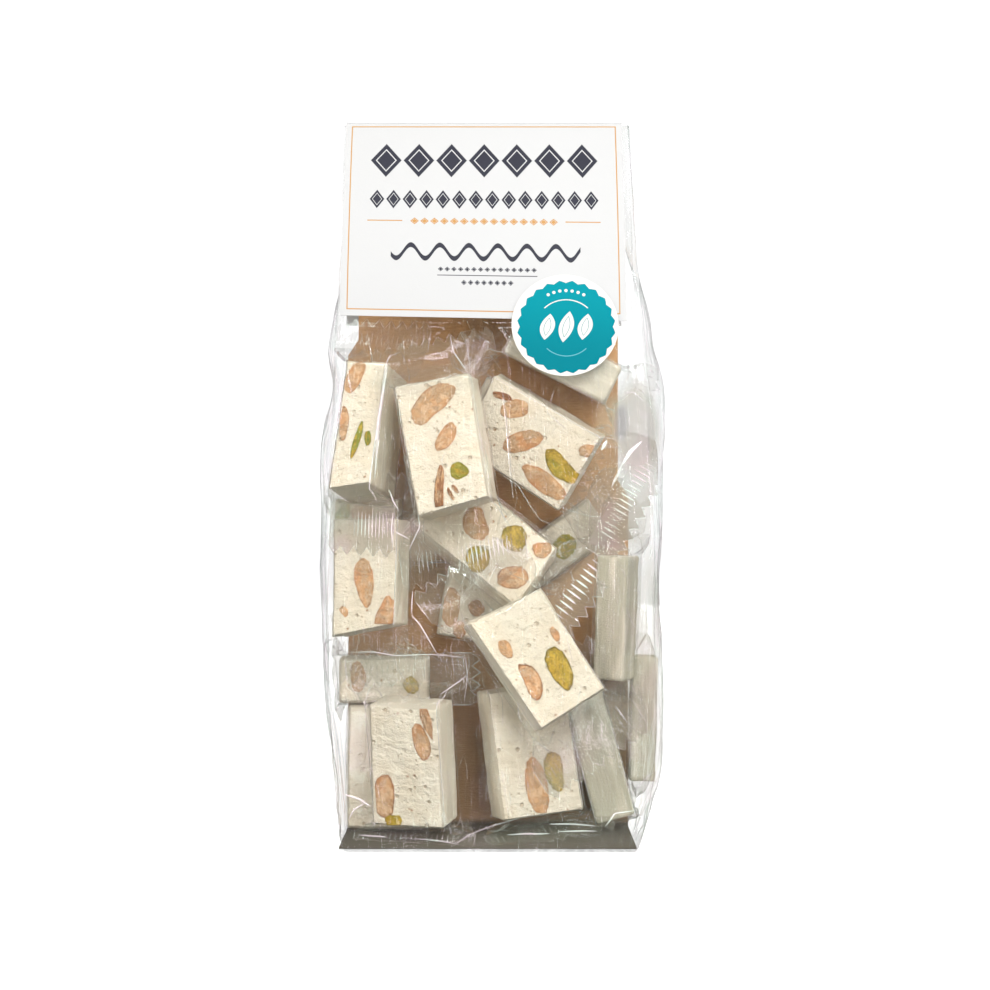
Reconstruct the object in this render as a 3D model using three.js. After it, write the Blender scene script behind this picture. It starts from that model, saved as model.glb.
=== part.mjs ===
// A stand-up bag of wrapped nougat pieces: a clear film bag with side gussets and a block bottom,
// closed by a folded header card, with a round seal stuck over the card's lower edge.
//
// Millimetres, +Z up. The origin is the middle of the base, the front of the bag faces -Y.

import * as THREE from 'three';

// --- Driving dimensions ------------------------------------------------------------------------

const BAG_HEIGHT = 218;         // base to the top edge of the film
const BACK_Y = 19.2;            // the flat back panel
const TOP_DEPTH = 1.2;          // front and back panels pressed together under the card
const BASE_INSET = 1.0;         // rounding of the bottom edge
const BASE_ROUND_HEIGHT = 1.2;

const CARD_TOP_Z = 218.8;       // outside of the fold
const CARD_TOP_Y = 17.5;        // front leaf at the fold, measured at its outer face
const CARD_TOP_SLOPE = 0.49;    // how far the front leaf comes forward for each mm down
const CARD_FOOT_SLOPE = 0.23;
const CARD_LEAF_HEIGHT = 62.7;  // upright height of the front leaf at the middle
const CARD_THICKNESS = 0.5;
const CARD_FOLD_CHAMFER = 0.4;
const CARD_CURVE_STEPS = 14;
const CARD_LEFT_X = -44.8;
const CARD_RIGHT_X = 40.5;
const CARD_FOOT_DROP = 1.65;    // the lower edge is cut askew: lower at the right
const CARD_GAP = 0.35;          // between card and film

const SEAL_RADIUS = 15.9;
const SEAL_THICKNESS = 0.3;
const SEAL_X = 22.1;
const SEAL_Z = 153.9;
const SEAL_SLOPE = 0.26;        // leans like the foot of the card
const SEAL_SEGMENTS = 72;

// The bag's form at a few heights. left and right are how far the gussets swell (or tuck in, near
// the top), frontHalf and backHalf the half widths of the two panels, front the middle of the
// front panel and shoulder how much further back its edges lie.
const STATIONS = [
  { z: 0, left: 43.6, right: 43.4, frontHalf: 42.6, backHalf: 41.5, front: -20, shoulder: 0.3 },
  { z: 8, left: 45.0, right: 46.0, frontHalf: 43.8, backHalf: 42.5, front: -20.6, shoulder: 0.8 },
  { z: 22, left: 46.3, right: 51.0, frontHalf: 45.0, backHalf: 43.6, front: -20.2, shoulder: 1.6 },
  { z: 46, left: 50.0, right: 51.6, frontHalf: 46.6, backHalf: 44.4, front: -19.2, shoulder: 2.2 },
  { z: 77, left: 51.0, right: 50.5, frontHalf: 47.8, backHalf: 44.8, front: -18.2, shoulder: 2.4 },
  { z: 100, left: 51.0, right: 51.4, frontHalf: 47.6, backHalf: 44.8, front: -16.6, shoulder: 2.2 },
  { z: 118, left: 51.2, right: 52.2, frontHalf: 46.6, backHalf: 44.6, front: -14.0, shoulder: 2.0 },
  { z: 136, left: 47.6, right: 52.3, frontHalf: 45.6, backHalf: 44.4, front: -9.8, shoulder: 1.2 },
  { z: 147, left: 49.2, right: 49.2, frontHalf: 45.2, backHalf: 44.3, front: -7.0, shoulder: 0.6 },
  { z: 157, left: 47.6, right: 48.2, frontHalf: 44.9, backHalf: 44.2, front: -4.2, shoulder: 0.2 },
  { z: 170, left: 43.6, right: 44.4, frontHalf: 44.6, backHalf: 44.2, front: 0.0, shoulder: 0.0 },
  { z: 190, left: 40.5, right: 39.0, frontHalf: 44.3, backHalf: 44.2, front: 8.4, shoulder: 0.0 },
  { z: 218, left: 38.5, right: 37.0, frontHalf: 44.1, backHalf: 44.1, front: 18.0, shoulder: 0.0 },
];
const TOP_LEAN_X = -1.2;        // the closed top sits a little to the left
const TOP_LEAN_FROM_Z = 140;

// Wrapped pieces that press the front panel out: the middle of the face that shows, its width and
// height, and its turns in degrees (roll about Y, yaw about Z, pitch about X).
const PRESSING_FACES = [
  { name: 'upper', at: [-14.1, -17.3, 118.4], size: [22.5, 38], roll: -10.5, yaw: -12, pitch: -5 },
  { name: 'middle', at: [12.1, -17.8, 52.9], size: [23.5, 35], roll: -33, yaw: 10, pitch: -11 },
  { name: 'upperLeft', at: [-38.1, -11.0, 124.6], size: [12.5, 38], roll: 6.5, yaw: -15, pitch: -12 },
  { name: 'left', at: [-37.7, -12.4, 79.1], size: [20.5, 35.5], roll: 1, yaw: -16, pitch: -4 },
  { name: 'lowerLeft', at: [-24.9, -14.1, 24.3], size: [22, 36], roll: -2, yaw: -18, pitch: 7 },
  { name: 'upperRight', at: [10.8, -5.4, 118.6], size: [23.5, 36], roll: -60, yaw: -13, pitch: 14 },
  { name: 'centre', at: [-1.8, -5.0, 91.8], size: [22.5, 38], roll: -51.5, yaw: 0, pitch: -17 },
];
const WRAP_ALLOWANCE = 1.1;     // film and air between a face and the bag
const TENT_SLOPE = 0.8;         // how steeply the panel falls away from a face
const PRESS_FROM_Z = 4;         // no pressing at the very base, and all of it from here up
const PRESS_FULL_Z = 16;

// How finely the loft is cut: points round each side of a ring, and the spacing of the rings.
const FRONT_STEPS = 30;
const GUSSET_STEPS = 9;
const BACK_STEPS = 6;
const RING_SPACING = 4.4;

const FILM_COLOUR = 0xdcdccf;
const CARD_COLOUR = 0xf5f5f5;
const SEAL_COLOUR = 0x12a8bb;

// --- The card's curve, which the bag's front follows above the card's foot ------------------------

// Outer face of the front leaf at height z: steep near its foot, leaning back more towards the fold.
function cardFaceY(z) {
  const down = CARD_TOP_Z - z;
  const easing = (CARD_TOP_SLOPE - CARD_FOOT_SLOPE) / CARD_LEAF_HEIGHT;
  return CARD_TOP_Y - CARD_TOP_SLOPE * down + 0.5 * easing * down * down;
}

function cardInnerY(z) {
  return cardFaceY(z) + CARD_THICKNESS;
}

const CARD_FOOT_Z = CARD_TOP_Z - CARD_LEAF_HEIGHT;
const COVERED_TO_Z = CARD_FOOT_Z - CARD_FOOT_DROP;

// --- The bag -----------------------------------------------------------------------------------

const STATION_KEYS = ['left', 'right', 'frontHalf', 'backHalf', 'front', 'shoulder'];

// The form at height z: a smooth curve through the stations.
function formAt(z) {
  const upper = Math.max(1, STATIONS.findIndex((station) => station.z >= z));
  const below = STATIONS[upper - 1];
  const above = STATIONS[upper];
  const before = STATIONS[Math.max(0, upper - 2)];
  const after = STATIONS[Math.min(STATIONS.length - 1, upper + 1)];
  const span = above.z - below.z;
  const t = THREE.MathUtils.clamp((z - below.z) / span, 0, 1);
  const form = {};
  for (const key of STATION_KEYS) {
    const slopeBelow = (above[key] - before[key]) / (above.z - before.z) * span;
    const slopeAbove = (after[key] - below[key]) / (after.z - below.z) * span;
    form[key] = hermite(below[key], above[key], slopeBelow, slopeAbove, t);
  }
  return form;
}

function hermite(from, to, slopeFrom, slopeTo, t) {
  const t2 = t * t;
  const t3 = t2 * t;
  return (2 * t3 - 3 * t2 + 1) * from + (t3 - 2 * t2 + t) * slopeFrom
    + (3 * t2 - 2 * t3) * to + (t3 - t2) * slopeTo;
}

// Each pressing face with its plane's two directions ready for the depth test below.
const pressingFaces = PRESSING_FACES.map((face) => {
  const turn = new THREE.Matrix4()
    .makeRotationZ(THREE.MathUtils.degToRad(face.yaw))
    .multiply(new THREE.Matrix4().makeRotationX(THREE.MathUtils.degToRad(face.pitch)))
    .multiply(new THREE.Matrix4().makeRotationY(THREE.MathUtils.degToRad(face.roll)));
  return {
    centre: new THREE.Vector3(...face.at),
    across: new THREE.Vector3(1, 0, 0).applyMatrix4(turn),
    along: new THREE.Vector3(0, 0, 1).applyMatrix4(turn),
    half: [face.size[0] / 2, face.size[1] / 2],
  };
});

// Depth of a sheet stretched over one face: on the face it lies flat, and outside the face it
// falls back in a straight slope from the nearest edge or corner.
function tentY(face, x, z) {
  const { centre, across, along, half } = face;
  const dx = x - centre.x;
  const dz = z - centre.z;
  const area = across.x * along.z - across.z * along.x;
  const a = (dx * along.z - dz * along.x) / area;
  const b = (dz * across.x - dx * across.z) / area;
  const nearA = THREE.MathUtils.clamp(a, -half[0], half[0]);
  const nearB = THREE.MathUtils.clamp(b, -half[1], half[1]);
  const nearest = centre.clone().addScaledVector(across, nearA).addScaledVector(along, nearB);
  const distance = Math.hypot(x - nearest.x, z - nearest.z);
  return nearest.y - WRAP_ALLOWANCE + TENT_SLOPE * distance;
}

// The most that the panel may stand forward: behind the card, and below its foot along one slope.
function frontLimitY(z) {
  const coveredZ = Math.max(z, COVERED_TO_Z);
  return cardInnerY(coveredZ) + CARD_GAP - TENT_SLOPE * (coveredZ - z);
}

function frontPanelY(x, z, form) {
  const acrossPanel = Math.abs(x) / form.frontHalf;
  const plain = form.front + form.shoulder * acrossPanel ** 4;
  let y = plain;
  for (const face of pressingFaces) {
    y = Math.min(y, tentY(face, x, z));
  }
  const pressed = THREE.MathUtils.smoothstep(z, PRESS_FROM_Z, PRESS_FULL_Z);
  y = THREE.MathUtils.lerp(plain, y, pressed);
  return Math.min(Math.max(y, frontLimitY(z)), BACK_Y - TOP_DEPTH);
}

// One ring of the loft, counter-clockwise seen from above: front panel from left to right, right
// gusset to the back, back panel from right to left, left gusset to the front.
function ringAt(z, inset) {
  const form = formAt(z);
  const lean = TOP_LEAN_X * THREE.MathUtils.smoothstep(z, TOP_LEAN_FROM_Z, BAG_HEIGHT);
  const points = [];
  const add = (x, y) => {
    const middleY = (form.front + BACK_Y) / 2;
    const shrinkX = 1 - inset / form.frontHalf;
    const shrinkY = 1 - inset / (BACK_Y - form.front) * 2;
    points.push(new THREE.Vector3(x * shrinkX + lean, middleY + (y - middleY) * shrinkY, z));
  };
  for (let i = 0; i < FRONT_STEPS; i++) {
    const x = form.frontHalf * (2 * i / FRONT_STEPS - 1);
    add(x, frontPanelY(x, z, form));
  }
  const rightEdgeY = frontPanelY(form.frontHalf, z, form);
  for (let i = 0; i < GUSSET_STEPS; i++) {
    const t = i / GUSSET_STEPS;
    const straight = THREE.MathUtils.lerp(form.frontHalf, form.backHalf, t);
    add(straight + (form.right - straight) * Math.sin(Math.PI * t), lerpY(rightEdgeY, t));
  }
  for (let i = 0; i < BACK_STEPS; i++) {
    add(form.backHalf * (1 - 2 * i / BACK_STEPS), BACK_Y);
  }
  const leftEdgeY = frontPanelY(-form.frontHalf, z, form);
  for (let i = 0; i < GUSSET_STEPS; i++) {
    const t = 1 - i / GUSSET_STEPS;
    const straight = THREE.MathUtils.lerp(form.frontHalf, form.backHalf, t);
    add(-straight - (form.left - straight) * Math.sin(Math.PI * t), lerpY(leftEdgeY, t));
  }
  return points;
}

function lerpY(frontY, t) {
  return THREE.MathUtils.lerp(frontY, BACK_Y, t);
}

function bagGeometry() {
  const ringCount = Math.round(BAG_HEIGHT / RING_SPACING);
  const rings = [ringAt(0, BASE_INSET), ringAt(BASE_ROUND_HEIGHT, 0)];
  for (let k = 1; k <= ringCount; k++) {
    rings.push(ringAt(BASE_ROUND_HEIGHT + (BAG_HEIGHT - BASE_ROUND_HEIGHT) * k / ringCount, 0));
  }
  return loftGeometry(rings);
}

// A closed solid from rings of equally many points, lowest first.
function loftGeometry(rings) {
  const count = rings[0].length;
  const positions = rings.flat().flatMap((point) => [point.x, point.y, point.z]);
  const indices = [];
  for (let k = 0; k + 1 < rings.length; k++) {
    for (let i = 0; i < count; i++) {
      const next = (i + 1) % count;
      const a = k * count + i;
      const b = k * count + next;
      indices.push(a, b, b + count, a, b + count, a + count);
    }
  }
  addCap(indices, rings[0], 0, true);
  addCap(indices, rings[rings.length - 1], (rings.length - 1) * count, false);
  const geometry = new THREE.BufferGeometry();
  geometry.setAttribute('position', new THREE.Float32BufferAttribute(positions, 3));
  geometry.setIndex(indices);
  geometry.computeVertexNormals();
  return geometry;
}

function addCap(indices, ring, offset, facesDown) {
  const outline = ring.map((point) => new THREE.Vector2(point.x, point.y));
  for (const [a, b, c] of THREE.ShapeUtils.triangulateShape(outline, [])) {
    const turned = facesDown ? [c, b, a] : [a, b, c];
    indices.push(...turned.map((index) => index + offset));
  }
}

// --- The header card -----------------------------------------------------------------------------

// The side view of the card, folded over the bag's top, pushed out across its width. The foot of
// the front leaf is then cut askew.
function headerCardGeometry() {
  const foldInnerZ = CARD_TOP_Z - CARD_THICKNESS;
  const outer = [];
  const inner = [];
  for (let i = 0; i <= CARD_CURVE_STEPS; i++) {
    const z = THREE.MathUtils.lerp(CARD_FOOT_Z, foldInnerZ, i / CARD_CURVE_STEPS);
    outer.push(new THREE.Vector2(cardFaceY(z), z));
    inner.push(new THREE.Vector2(cardInnerY(z), z));
  }
  const backInner = BACK_Y + CARD_GAP;
  const backOuter = backInner + CARD_THICKNESS;
  const profile = new THREE.Shape([
    ...outer,
    new THREE.Vector2(CARD_TOP_Y + CARD_FOLD_CHAMFER, CARD_TOP_Z),
    new THREE.Vector2(backOuter - CARD_FOLD_CHAMFER, CARD_TOP_Z),
    new THREE.Vector2(backOuter, foldInnerZ),
    new THREE.Vector2(backOuter, CARD_FOOT_Z),
    new THREE.Vector2(backInner, CARD_FOOT_Z),
    new THREE.Vector2(backInner, foldInnerZ),
    ...inner.reverse(),
  ]);
  const geometry = new THREE.ExtrudeGeometry(profile, {
    depth: CARD_RIGHT_X - CARD_LEFT_X,
    bevelEnabled: false,
  });
  // The side view's x is the part's Y and its y the part's Z, so the push goes along +X.
  geometry.applyMatrix4(new THREE.Matrix4().makeBasis(
    new THREE.Vector3(0, 1, 0), new THREE.Vector3(0, 0, 1), new THREE.Vector3(1, 0, 0),
  ));
  geometry.translate(CARD_LEFT_X, 0, 0);
  skewFoot(geometry);
  return geometry;
}

function skewFoot(geometry) {
  const position = geometry.attributes.position;
  const middleY = (cardFaceY(CARD_TOP_Z) + BACK_Y) / 2;
  for (let i = 0; i < position.count; i++) {
    const isFrontLeaf = position.getY(i) < middleY;
    const share = (CARD_TOP_Z - position.getZ(i)) / CARD_LEAF_HEIGHT;
    if (isFrontLeaf) {
      const side = (position.getX(i) - CARD_LEFT_X) / (CARD_RIGHT_X - CARD_LEFT_X) - 0.5;
      position.setZ(i, position.getZ(i) - CARD_FOOT_DROP * side * share);
    }
  }
}

// --- The round seal ------------------------------------------------------------------------------

function sealGeometry() {
  return new THREE.CylinderGeometry(SEAL_RADIUS, SEAL_RADIUS, SEAL_THICKNESS, SEAL_SEGMENTS);
}

// In front of the card's foot, with the disc's axis turned square to the card there.
function placeSeal(seal) {
  const footFaceY = cardFaceY(CARD_FOOT_Z) - CARD_GAP - SEAL_THICKNESS / 2;
  seal.position.set(SEAL_X, footFaceY + SEAL_SLOPE * (SEAL_Z - CARD_FOOT_Z), SEAL_Z);
  seal.rotation.x = -Math.atan(SEAL_SLOPE);
}

// --- The assembly --------------------------------------------------------------------------------

function namedMesh(name, geometry, color, roughness) {
  const material = new THREE.MeshStandardMaterial({ color, roughness, metalness: 0 });
  const mesh = new THREE.Mesh(geometry, material);
  mesh.name = name;
  return mesh;
}

const bag = namedMesh('bag', bagGeometry(), FILM_COLOUR, 0.15);
const headerCard = namedMesh('header_card', headerCardGeometry(), CARD_COLOUR, 0.5);
const seal = namedMesh('seal', sealGeometry(), SEAL_COLOUR, 0.4);
placeSeal(seal);

const group = new THREE.Group();
group.add(bag, headerCard, seal);

export default group;
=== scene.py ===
# %% [markdown]
# # A clear bag of wrapped nougat
#
# The real thing is a stand-up bag of thin clear film. It holds about eighteen pieces of white
# nougat, each in its own flow-wrap, in front of a brown board. A folded card closes the top and a
# round seal sticks to the card's corner.
#
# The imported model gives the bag's closed form, the card and the seal. This lesson keeps the card
# and the seal, and fills the bag: film, board, nougat, nuts and wrappers.

import math
import random

import bmesh
import bpy
import numpy as np
from mathutils import Matrix, Vector, noise


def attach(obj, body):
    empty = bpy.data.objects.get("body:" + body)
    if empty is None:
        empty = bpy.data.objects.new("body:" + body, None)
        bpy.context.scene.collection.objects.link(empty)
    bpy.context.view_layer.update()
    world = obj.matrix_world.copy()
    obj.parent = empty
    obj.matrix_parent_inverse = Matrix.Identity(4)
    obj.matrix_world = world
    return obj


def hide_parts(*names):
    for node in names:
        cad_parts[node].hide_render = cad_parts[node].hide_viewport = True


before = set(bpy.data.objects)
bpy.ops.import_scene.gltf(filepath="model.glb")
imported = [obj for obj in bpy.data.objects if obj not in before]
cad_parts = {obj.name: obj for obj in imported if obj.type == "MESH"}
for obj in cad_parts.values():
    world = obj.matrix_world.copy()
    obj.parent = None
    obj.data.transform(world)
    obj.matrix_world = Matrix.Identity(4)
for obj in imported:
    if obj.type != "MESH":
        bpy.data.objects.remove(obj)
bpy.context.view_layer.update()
MM = 0.001
random.seed(11)
print("nodes:", sorted(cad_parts))

# %% [markdown]
# ## Camera
#
# The bag is seen straight from the front, from a little over half a metre away and from the middle
# of its height, so its upright edges stay upright. A longer lens from further off would flatten
# the depth between the pieces.

# %% Camera
EYE = (0.0013, -0.552, 0.1035)
FOCAL_LENGTH = 66.9
lens = bpy.data.cameras.new("camera")
lens.lens = FOCAL_LENGTH
lens.sensor_width = 36.0
lens.clip_start = 0.01
camera = bpy.data.objects.new("camera", lens)
camera.location = EYE
camera.rotation_euler = (math.pi / 2, 0, 0)
bpy.context.collection.objects.link(camera)
bpy.context.scene.camera = camera

# %% [markdown]
# ## Floor and light
#
# Clear film shows only what it reflects and what lies behind it. A white floor and a white
# surround keep the outline light, and a darker surround for everything but the camera keeps the
# film's slopes readable.
#
# The lamps come in two groups. Some only shade: a key from the upper right, broad warm panels
# above and at both sides, a weak one in front, and one behind for the card's back. The others
# show only as glints: dim panels and rims beside the bag draw its outline, and a small lamp and
# four narrow strips put crisp lines on the creases.

# %% Floor and surround
FLOOR_HALF = 4.0
floor_mesh = bmesh.new()
bmesh.ops.create_grid(floor_mesh, x_segments=4, y_segments=4, size=FLOOR_HALF)
floor_data = bpy.data.meshes.new("floor")
floor_mesh.to_mesh(floor_data)
floor_mesh.free()
floor = bpy.data.objects.new("floor", floor_data)
bpy.context.collection.objects.link(floor)
floor.visible_diffuse = floor.visible_glossy = False

white = bpy.data.materials.new("white_floor")
white.use_nodes = True
white_shader = white.node_tree.nodes["Principled BSDF"]
white_shader.inputs["Base Color"].default_value = (0.3, 0.3, 0.3, 1)
white_shader.inputs["Roughness"].default_value = 0.9
white_shader.inputs["Emission Color"].default_value = (1, 1, 1, 1)
white_shader.inputs["Emission Strength"].default_value = 0.95
floor_data.materials.append(white)

SURROUND = 0.25
BACKDROP = 1.1
world = bpy.data.worlds.new("studio")
world.use_nodes = True
bpy.context.scene.world = world
surround = world.node_tree.nodes["Background"]
surround.inputs["Color"].default_value = (1, 1, 1, 1)
ray = world.node_tree.nodes.new("ShaderNodeLightPath")
level = world.node_tree.nodes.new("ShaderNodeMapRange")
level.inputs["To Min"].default_value = SURROUND
level.inputs["To Max"].default_value = BACKDROP
world.node_tree.links.new(ray.outputs["Is Camera Ray"], level.inputs["Value"])
world.node_tree.links.new(level.outputs["Result"], surround.inputs["Strength"])

# %% Lights
MIDDLE = Vector((0.0, 0.0, 0.09))
WARM = (1.0, 0.93, 0.82)


def softbox(name, place, size, radiance, serves, tint=(1, 1, 1)):
    """A panel of a given radiance, aimed at the bag, that serves its "shade" or its "glints"."""
    data = bpy.data.lights.new(name, "AREA")
    data.shape = "RECTANGLE"
    data.size, data.size_y = size
    data.energy = radiance * size[0] * size[1] * math.pi
    data.color = tint
    lamp = bpy.data.objects.new(name, data)
    lamp.visible_diffuse = serves == "shade"
    lamp.visible_glossy = serves == "glints"
    lamp.location = place
    lamp.rotation_euler = (MIDDLE - Vector(place)).to_track_quat("-Z", "Y").to_euler()
    bpy.context.collection.objects.link(lamp)


softbox("key", (0.20, -0.62, 0.50), (0.30, 0.30), 9.8, "shade")
softbox("top", (0.0, -0.30, 0.90), (0.9, 0.6), 2.15, "shade", WARM)
softbox("sparkle", (0.30, -0.58, 0.58), (0.08, 0.08), 90.0, "glints")
softbox("front", (-0.10, -0.95, 0.12), (1.0, 0.9), 0.4, "shade")
softbox("fill_left", (-0.60, -0.64, 0.20), (0.8, 0.8), 2.05, "shade", WARM)
softbox("fill_right", (0.66, -0.58, 0.18), (0.8, 0.8), 2.05, "shade", WARM)
softbox("back", (0.35, 0.95, 0.45), (1.0, 0.9), 4.2, "shade")
softbox("panel_left", (-0.70, -0.10, 0.20), (0.9, 0.9), 0.75, "glints")
softbox("panel_right", (0.70, -0.10, 0.20), (0.9, 0.9), 0.4, "glints")
softbox("rim_left", (-0.56, 0.86, 0.12), (0.26, 0.8), 1.0, "glints")
softbox("rim_right", (0.56, 0.86, 0.12), (0.26, 0.8), 1.0, "glints")
softbox("strip_right", (0.50, -0.36, 0.24), (0.09, 0.6), 12.0, "glints")
softbox("strip_left", (-0.46, -0.34, 0.28), (0.07, 0.6), 12.0, "glints")
softbox("strip_top", (-0.10, -0.42, 0.62), (0.6, 0.06), 16.0, "glints")
softbox("strip_low", (0.10, -0.50, -0.05), (0.5, 0.03), 10.0, "glints")

settings = bpy.context.scene
settings.view_settings.view_transform = "Standard"
settings.cycles.transparent_max_bounces = 64
settings.cycles.diffuse_bounces = 8
settings.cycles.caustics_reflective = False
settings.cycles.caustics_refractive = False

# %% [markdown]
# ## Writing materials as sums
#
# A material here is a short recipe. `Wire` stands for one socket, and arithmetic on it adds Math
# nodes, so a mask reads like the sum that it is. `Recipe.add` makes any other node: its type, its
# settings, then what goes into its sockets.


# %% Wires
class Wire:
    """An output socket in a material, on which +, -, * and / add Math nodes."""

    def __init__(self, recipe, socket):
        self.recipe, self.socket = recipe, socket

    def sum_with(self, operation, first, second):
        return self.recipe.add("ShaderNodeMath", {"operation": operation}, {0: first, 1: second})

    def __add__(self, other):
        return self.sum_with("ADD", self, other)

    def __radd__(self, other):
        return self.sum_with("ADD", other, self)

    def __sub__(self, other):
        return self.sum_with("SUBTRACT", self, other)

    def __rsub__(self, other):
        return self.sum_with("SUBTRACT", other, self)

    def __mul__(self, other):
        return self.sum_with("MULTIPLY", self, other)

    def __rmul__(self, other):
        return self.sum_with("MULTIPLY", other, self)

    def __truediv__(self, other):
        return self.sum_with("DIVIDE", self, other)

    def __pow__(self, other):
        return self.sum_with("POWER", self, other)

    def __abs__(self):
        return self.sum_with("ABSOLUTE", self, 0.0)


# %% Recipes
class Recipe:
    """A material under construction."""

    def __init__(self, name):
        self.material = bpy.data.materials.new(name)
        self.material.use_nodes = True
        self.tree = self.material.node_tree
        self.tree.nodes.clear()

    def add(self, kind, settings=None, inputs=None, output=0):
        """One node: settings first, then values or wires for its sockets; returns an output."""
        node = self.tree.nodes.new(kind)
        for name, value in (settings or {}).items():
            setattr(node, name, value)
        for key, value in (inputs or {}).items():
            socket = node.inputs[key]
            if isinstance(value, Wire):
                self.tree.links.new(value.socket, socket)
            elif hasattr(value, "__len__") and len(socket.default_value) == 4:
                socket.default_value = (*value[:3], 1)
            else:
                socket.default_value = value
        return Wire(self, node.outputs[output]) if node.outputs else None

    def position(self):
        """The point on the piece, in millimetres."""
        place = self.add("ShaderNodeTexCoord", output="Object")
        return self.scaled(place, (1000, 1000, 1000))

    def scaled(self, vector, factors):
        """The vector with each part times a factor, which draws a pattern out or together."""
        return self.add(
            "ShaderNodeVectorMath", {"operation": "MULTIPLY"}, {0: vector, 1: factors}
        )

    def split(self, vector):
        """The three parts of a vector."""
        node = self.add("ShaderNodeSeparateXYZ", inputs={0: vector}).socket.node
        return [Wire(self, socket) for socket in node.outputs]

    def attribute(self, name, output="Fac"):
        return self.add("ShaderNodeAttribute", {"attribute_name": name}, output=output)

    def noise(self, vector, scale, detail=3.0, roughness=0.55):
        inputs = {"Vector": vector, "Scale": scale, "Detail": detail, "Roughness": roughness}
        return self.add("ShaderNodeTexNoise", inputs=inputs)

    def cells(self, vector, scale):
        """Distance to the nearest of points strewn about, for round spots."""
        inputs = {"Vector": vector, "Scale": scale}
        return self.add("ShaderNodeTexVoronoi", inputs=inputs, output="Distance")

    def wrapped(self, value, period):
        """The value from 0 to the period, over and over."""
        return self.add("ShaderNodeMath", {"operation": "WRAP"}, {0: value, 1: period, 2: 0.0})

    def length(self, across, up):
        """The distance of a point from the middle, from its two coordinates."""
        return self.add(
            "ShaderNodeMath", {"operation": "SQRT"}, {0: across * across + up * up}
        )

    def rise(self, value, low, high):
        """0 below low, 1 above high and a smooth rise between; falls where high is below low."""
        inputs = {"Value": value, "From Min": low, "From Max": high}
        return self.add("ShaderNodeMapRange", {"interpolation_type": "SMOOTHSTEP"}, inputs)

    def blend(self, factor, first, second):
        """first where the factor is 0 and second where it is 1, for colours."""
        return self.add(
            "ShaderNodeMix", {"data_type": "RGBA"}, {0: factor, 6: first, 7: second}, 2
        )

    def bump(self, height, distance_mm):
        inputs = {"Height": height, "Distance": distance_mm * MM, "Strength": 1.0}
        return self.add("ShaderNodeBump", inputs=inputs)

    def surface(self, **inputs):
        """A Principled shader; underscores in the names stand for spaces."""
        named = {key.replace("_", " "): value for key, value in inputs.items()}
        return self.add("ShaderNodeBsdfPrincipled", inputs=named)

    def finish(self, shader):
        self.add("ShaderNodeOutputMaterial", inputs={"Surface": shader})
        return self.material


# %% [markdown]
# ## Nougat
#
# White nougat is whipped honey, sugar and egg white. Its sawn faces are cream coloured and matt,
# with pits where air bubbles were cut and small brown crumbs; the pits are painted darker and
# browner, as shade in the hollows. Its pulled sides run in fine fibres along the piece. Each piece
# carries its own millimetre coordinates in an attribute, "grain", so the fibres turn with the
# piece, and "fibre" says where a side is pulled. One more attribute is painted shade: it greys the
# pieces that lie deep in the bag, in shade behind layers of film.

# %% Nougat finish
CREAM = (0.90, 0.805, 0.64)
CREAM_PALE = (0.94, 0.87, 0.725)
CREAM_FIBRE = (0.89, 0.85, 0.73)
CREAM_HAIR = (0.56, 0.54, 0.42)
CREAM_PAINTED_SHADE = (0.49, 0.475, 0.36)
PIT_PAINTED_SHADE = (0.60, 0.42, 0.24)
SPECK_BROWN = (0.45, 0.24, 0.10)


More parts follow.
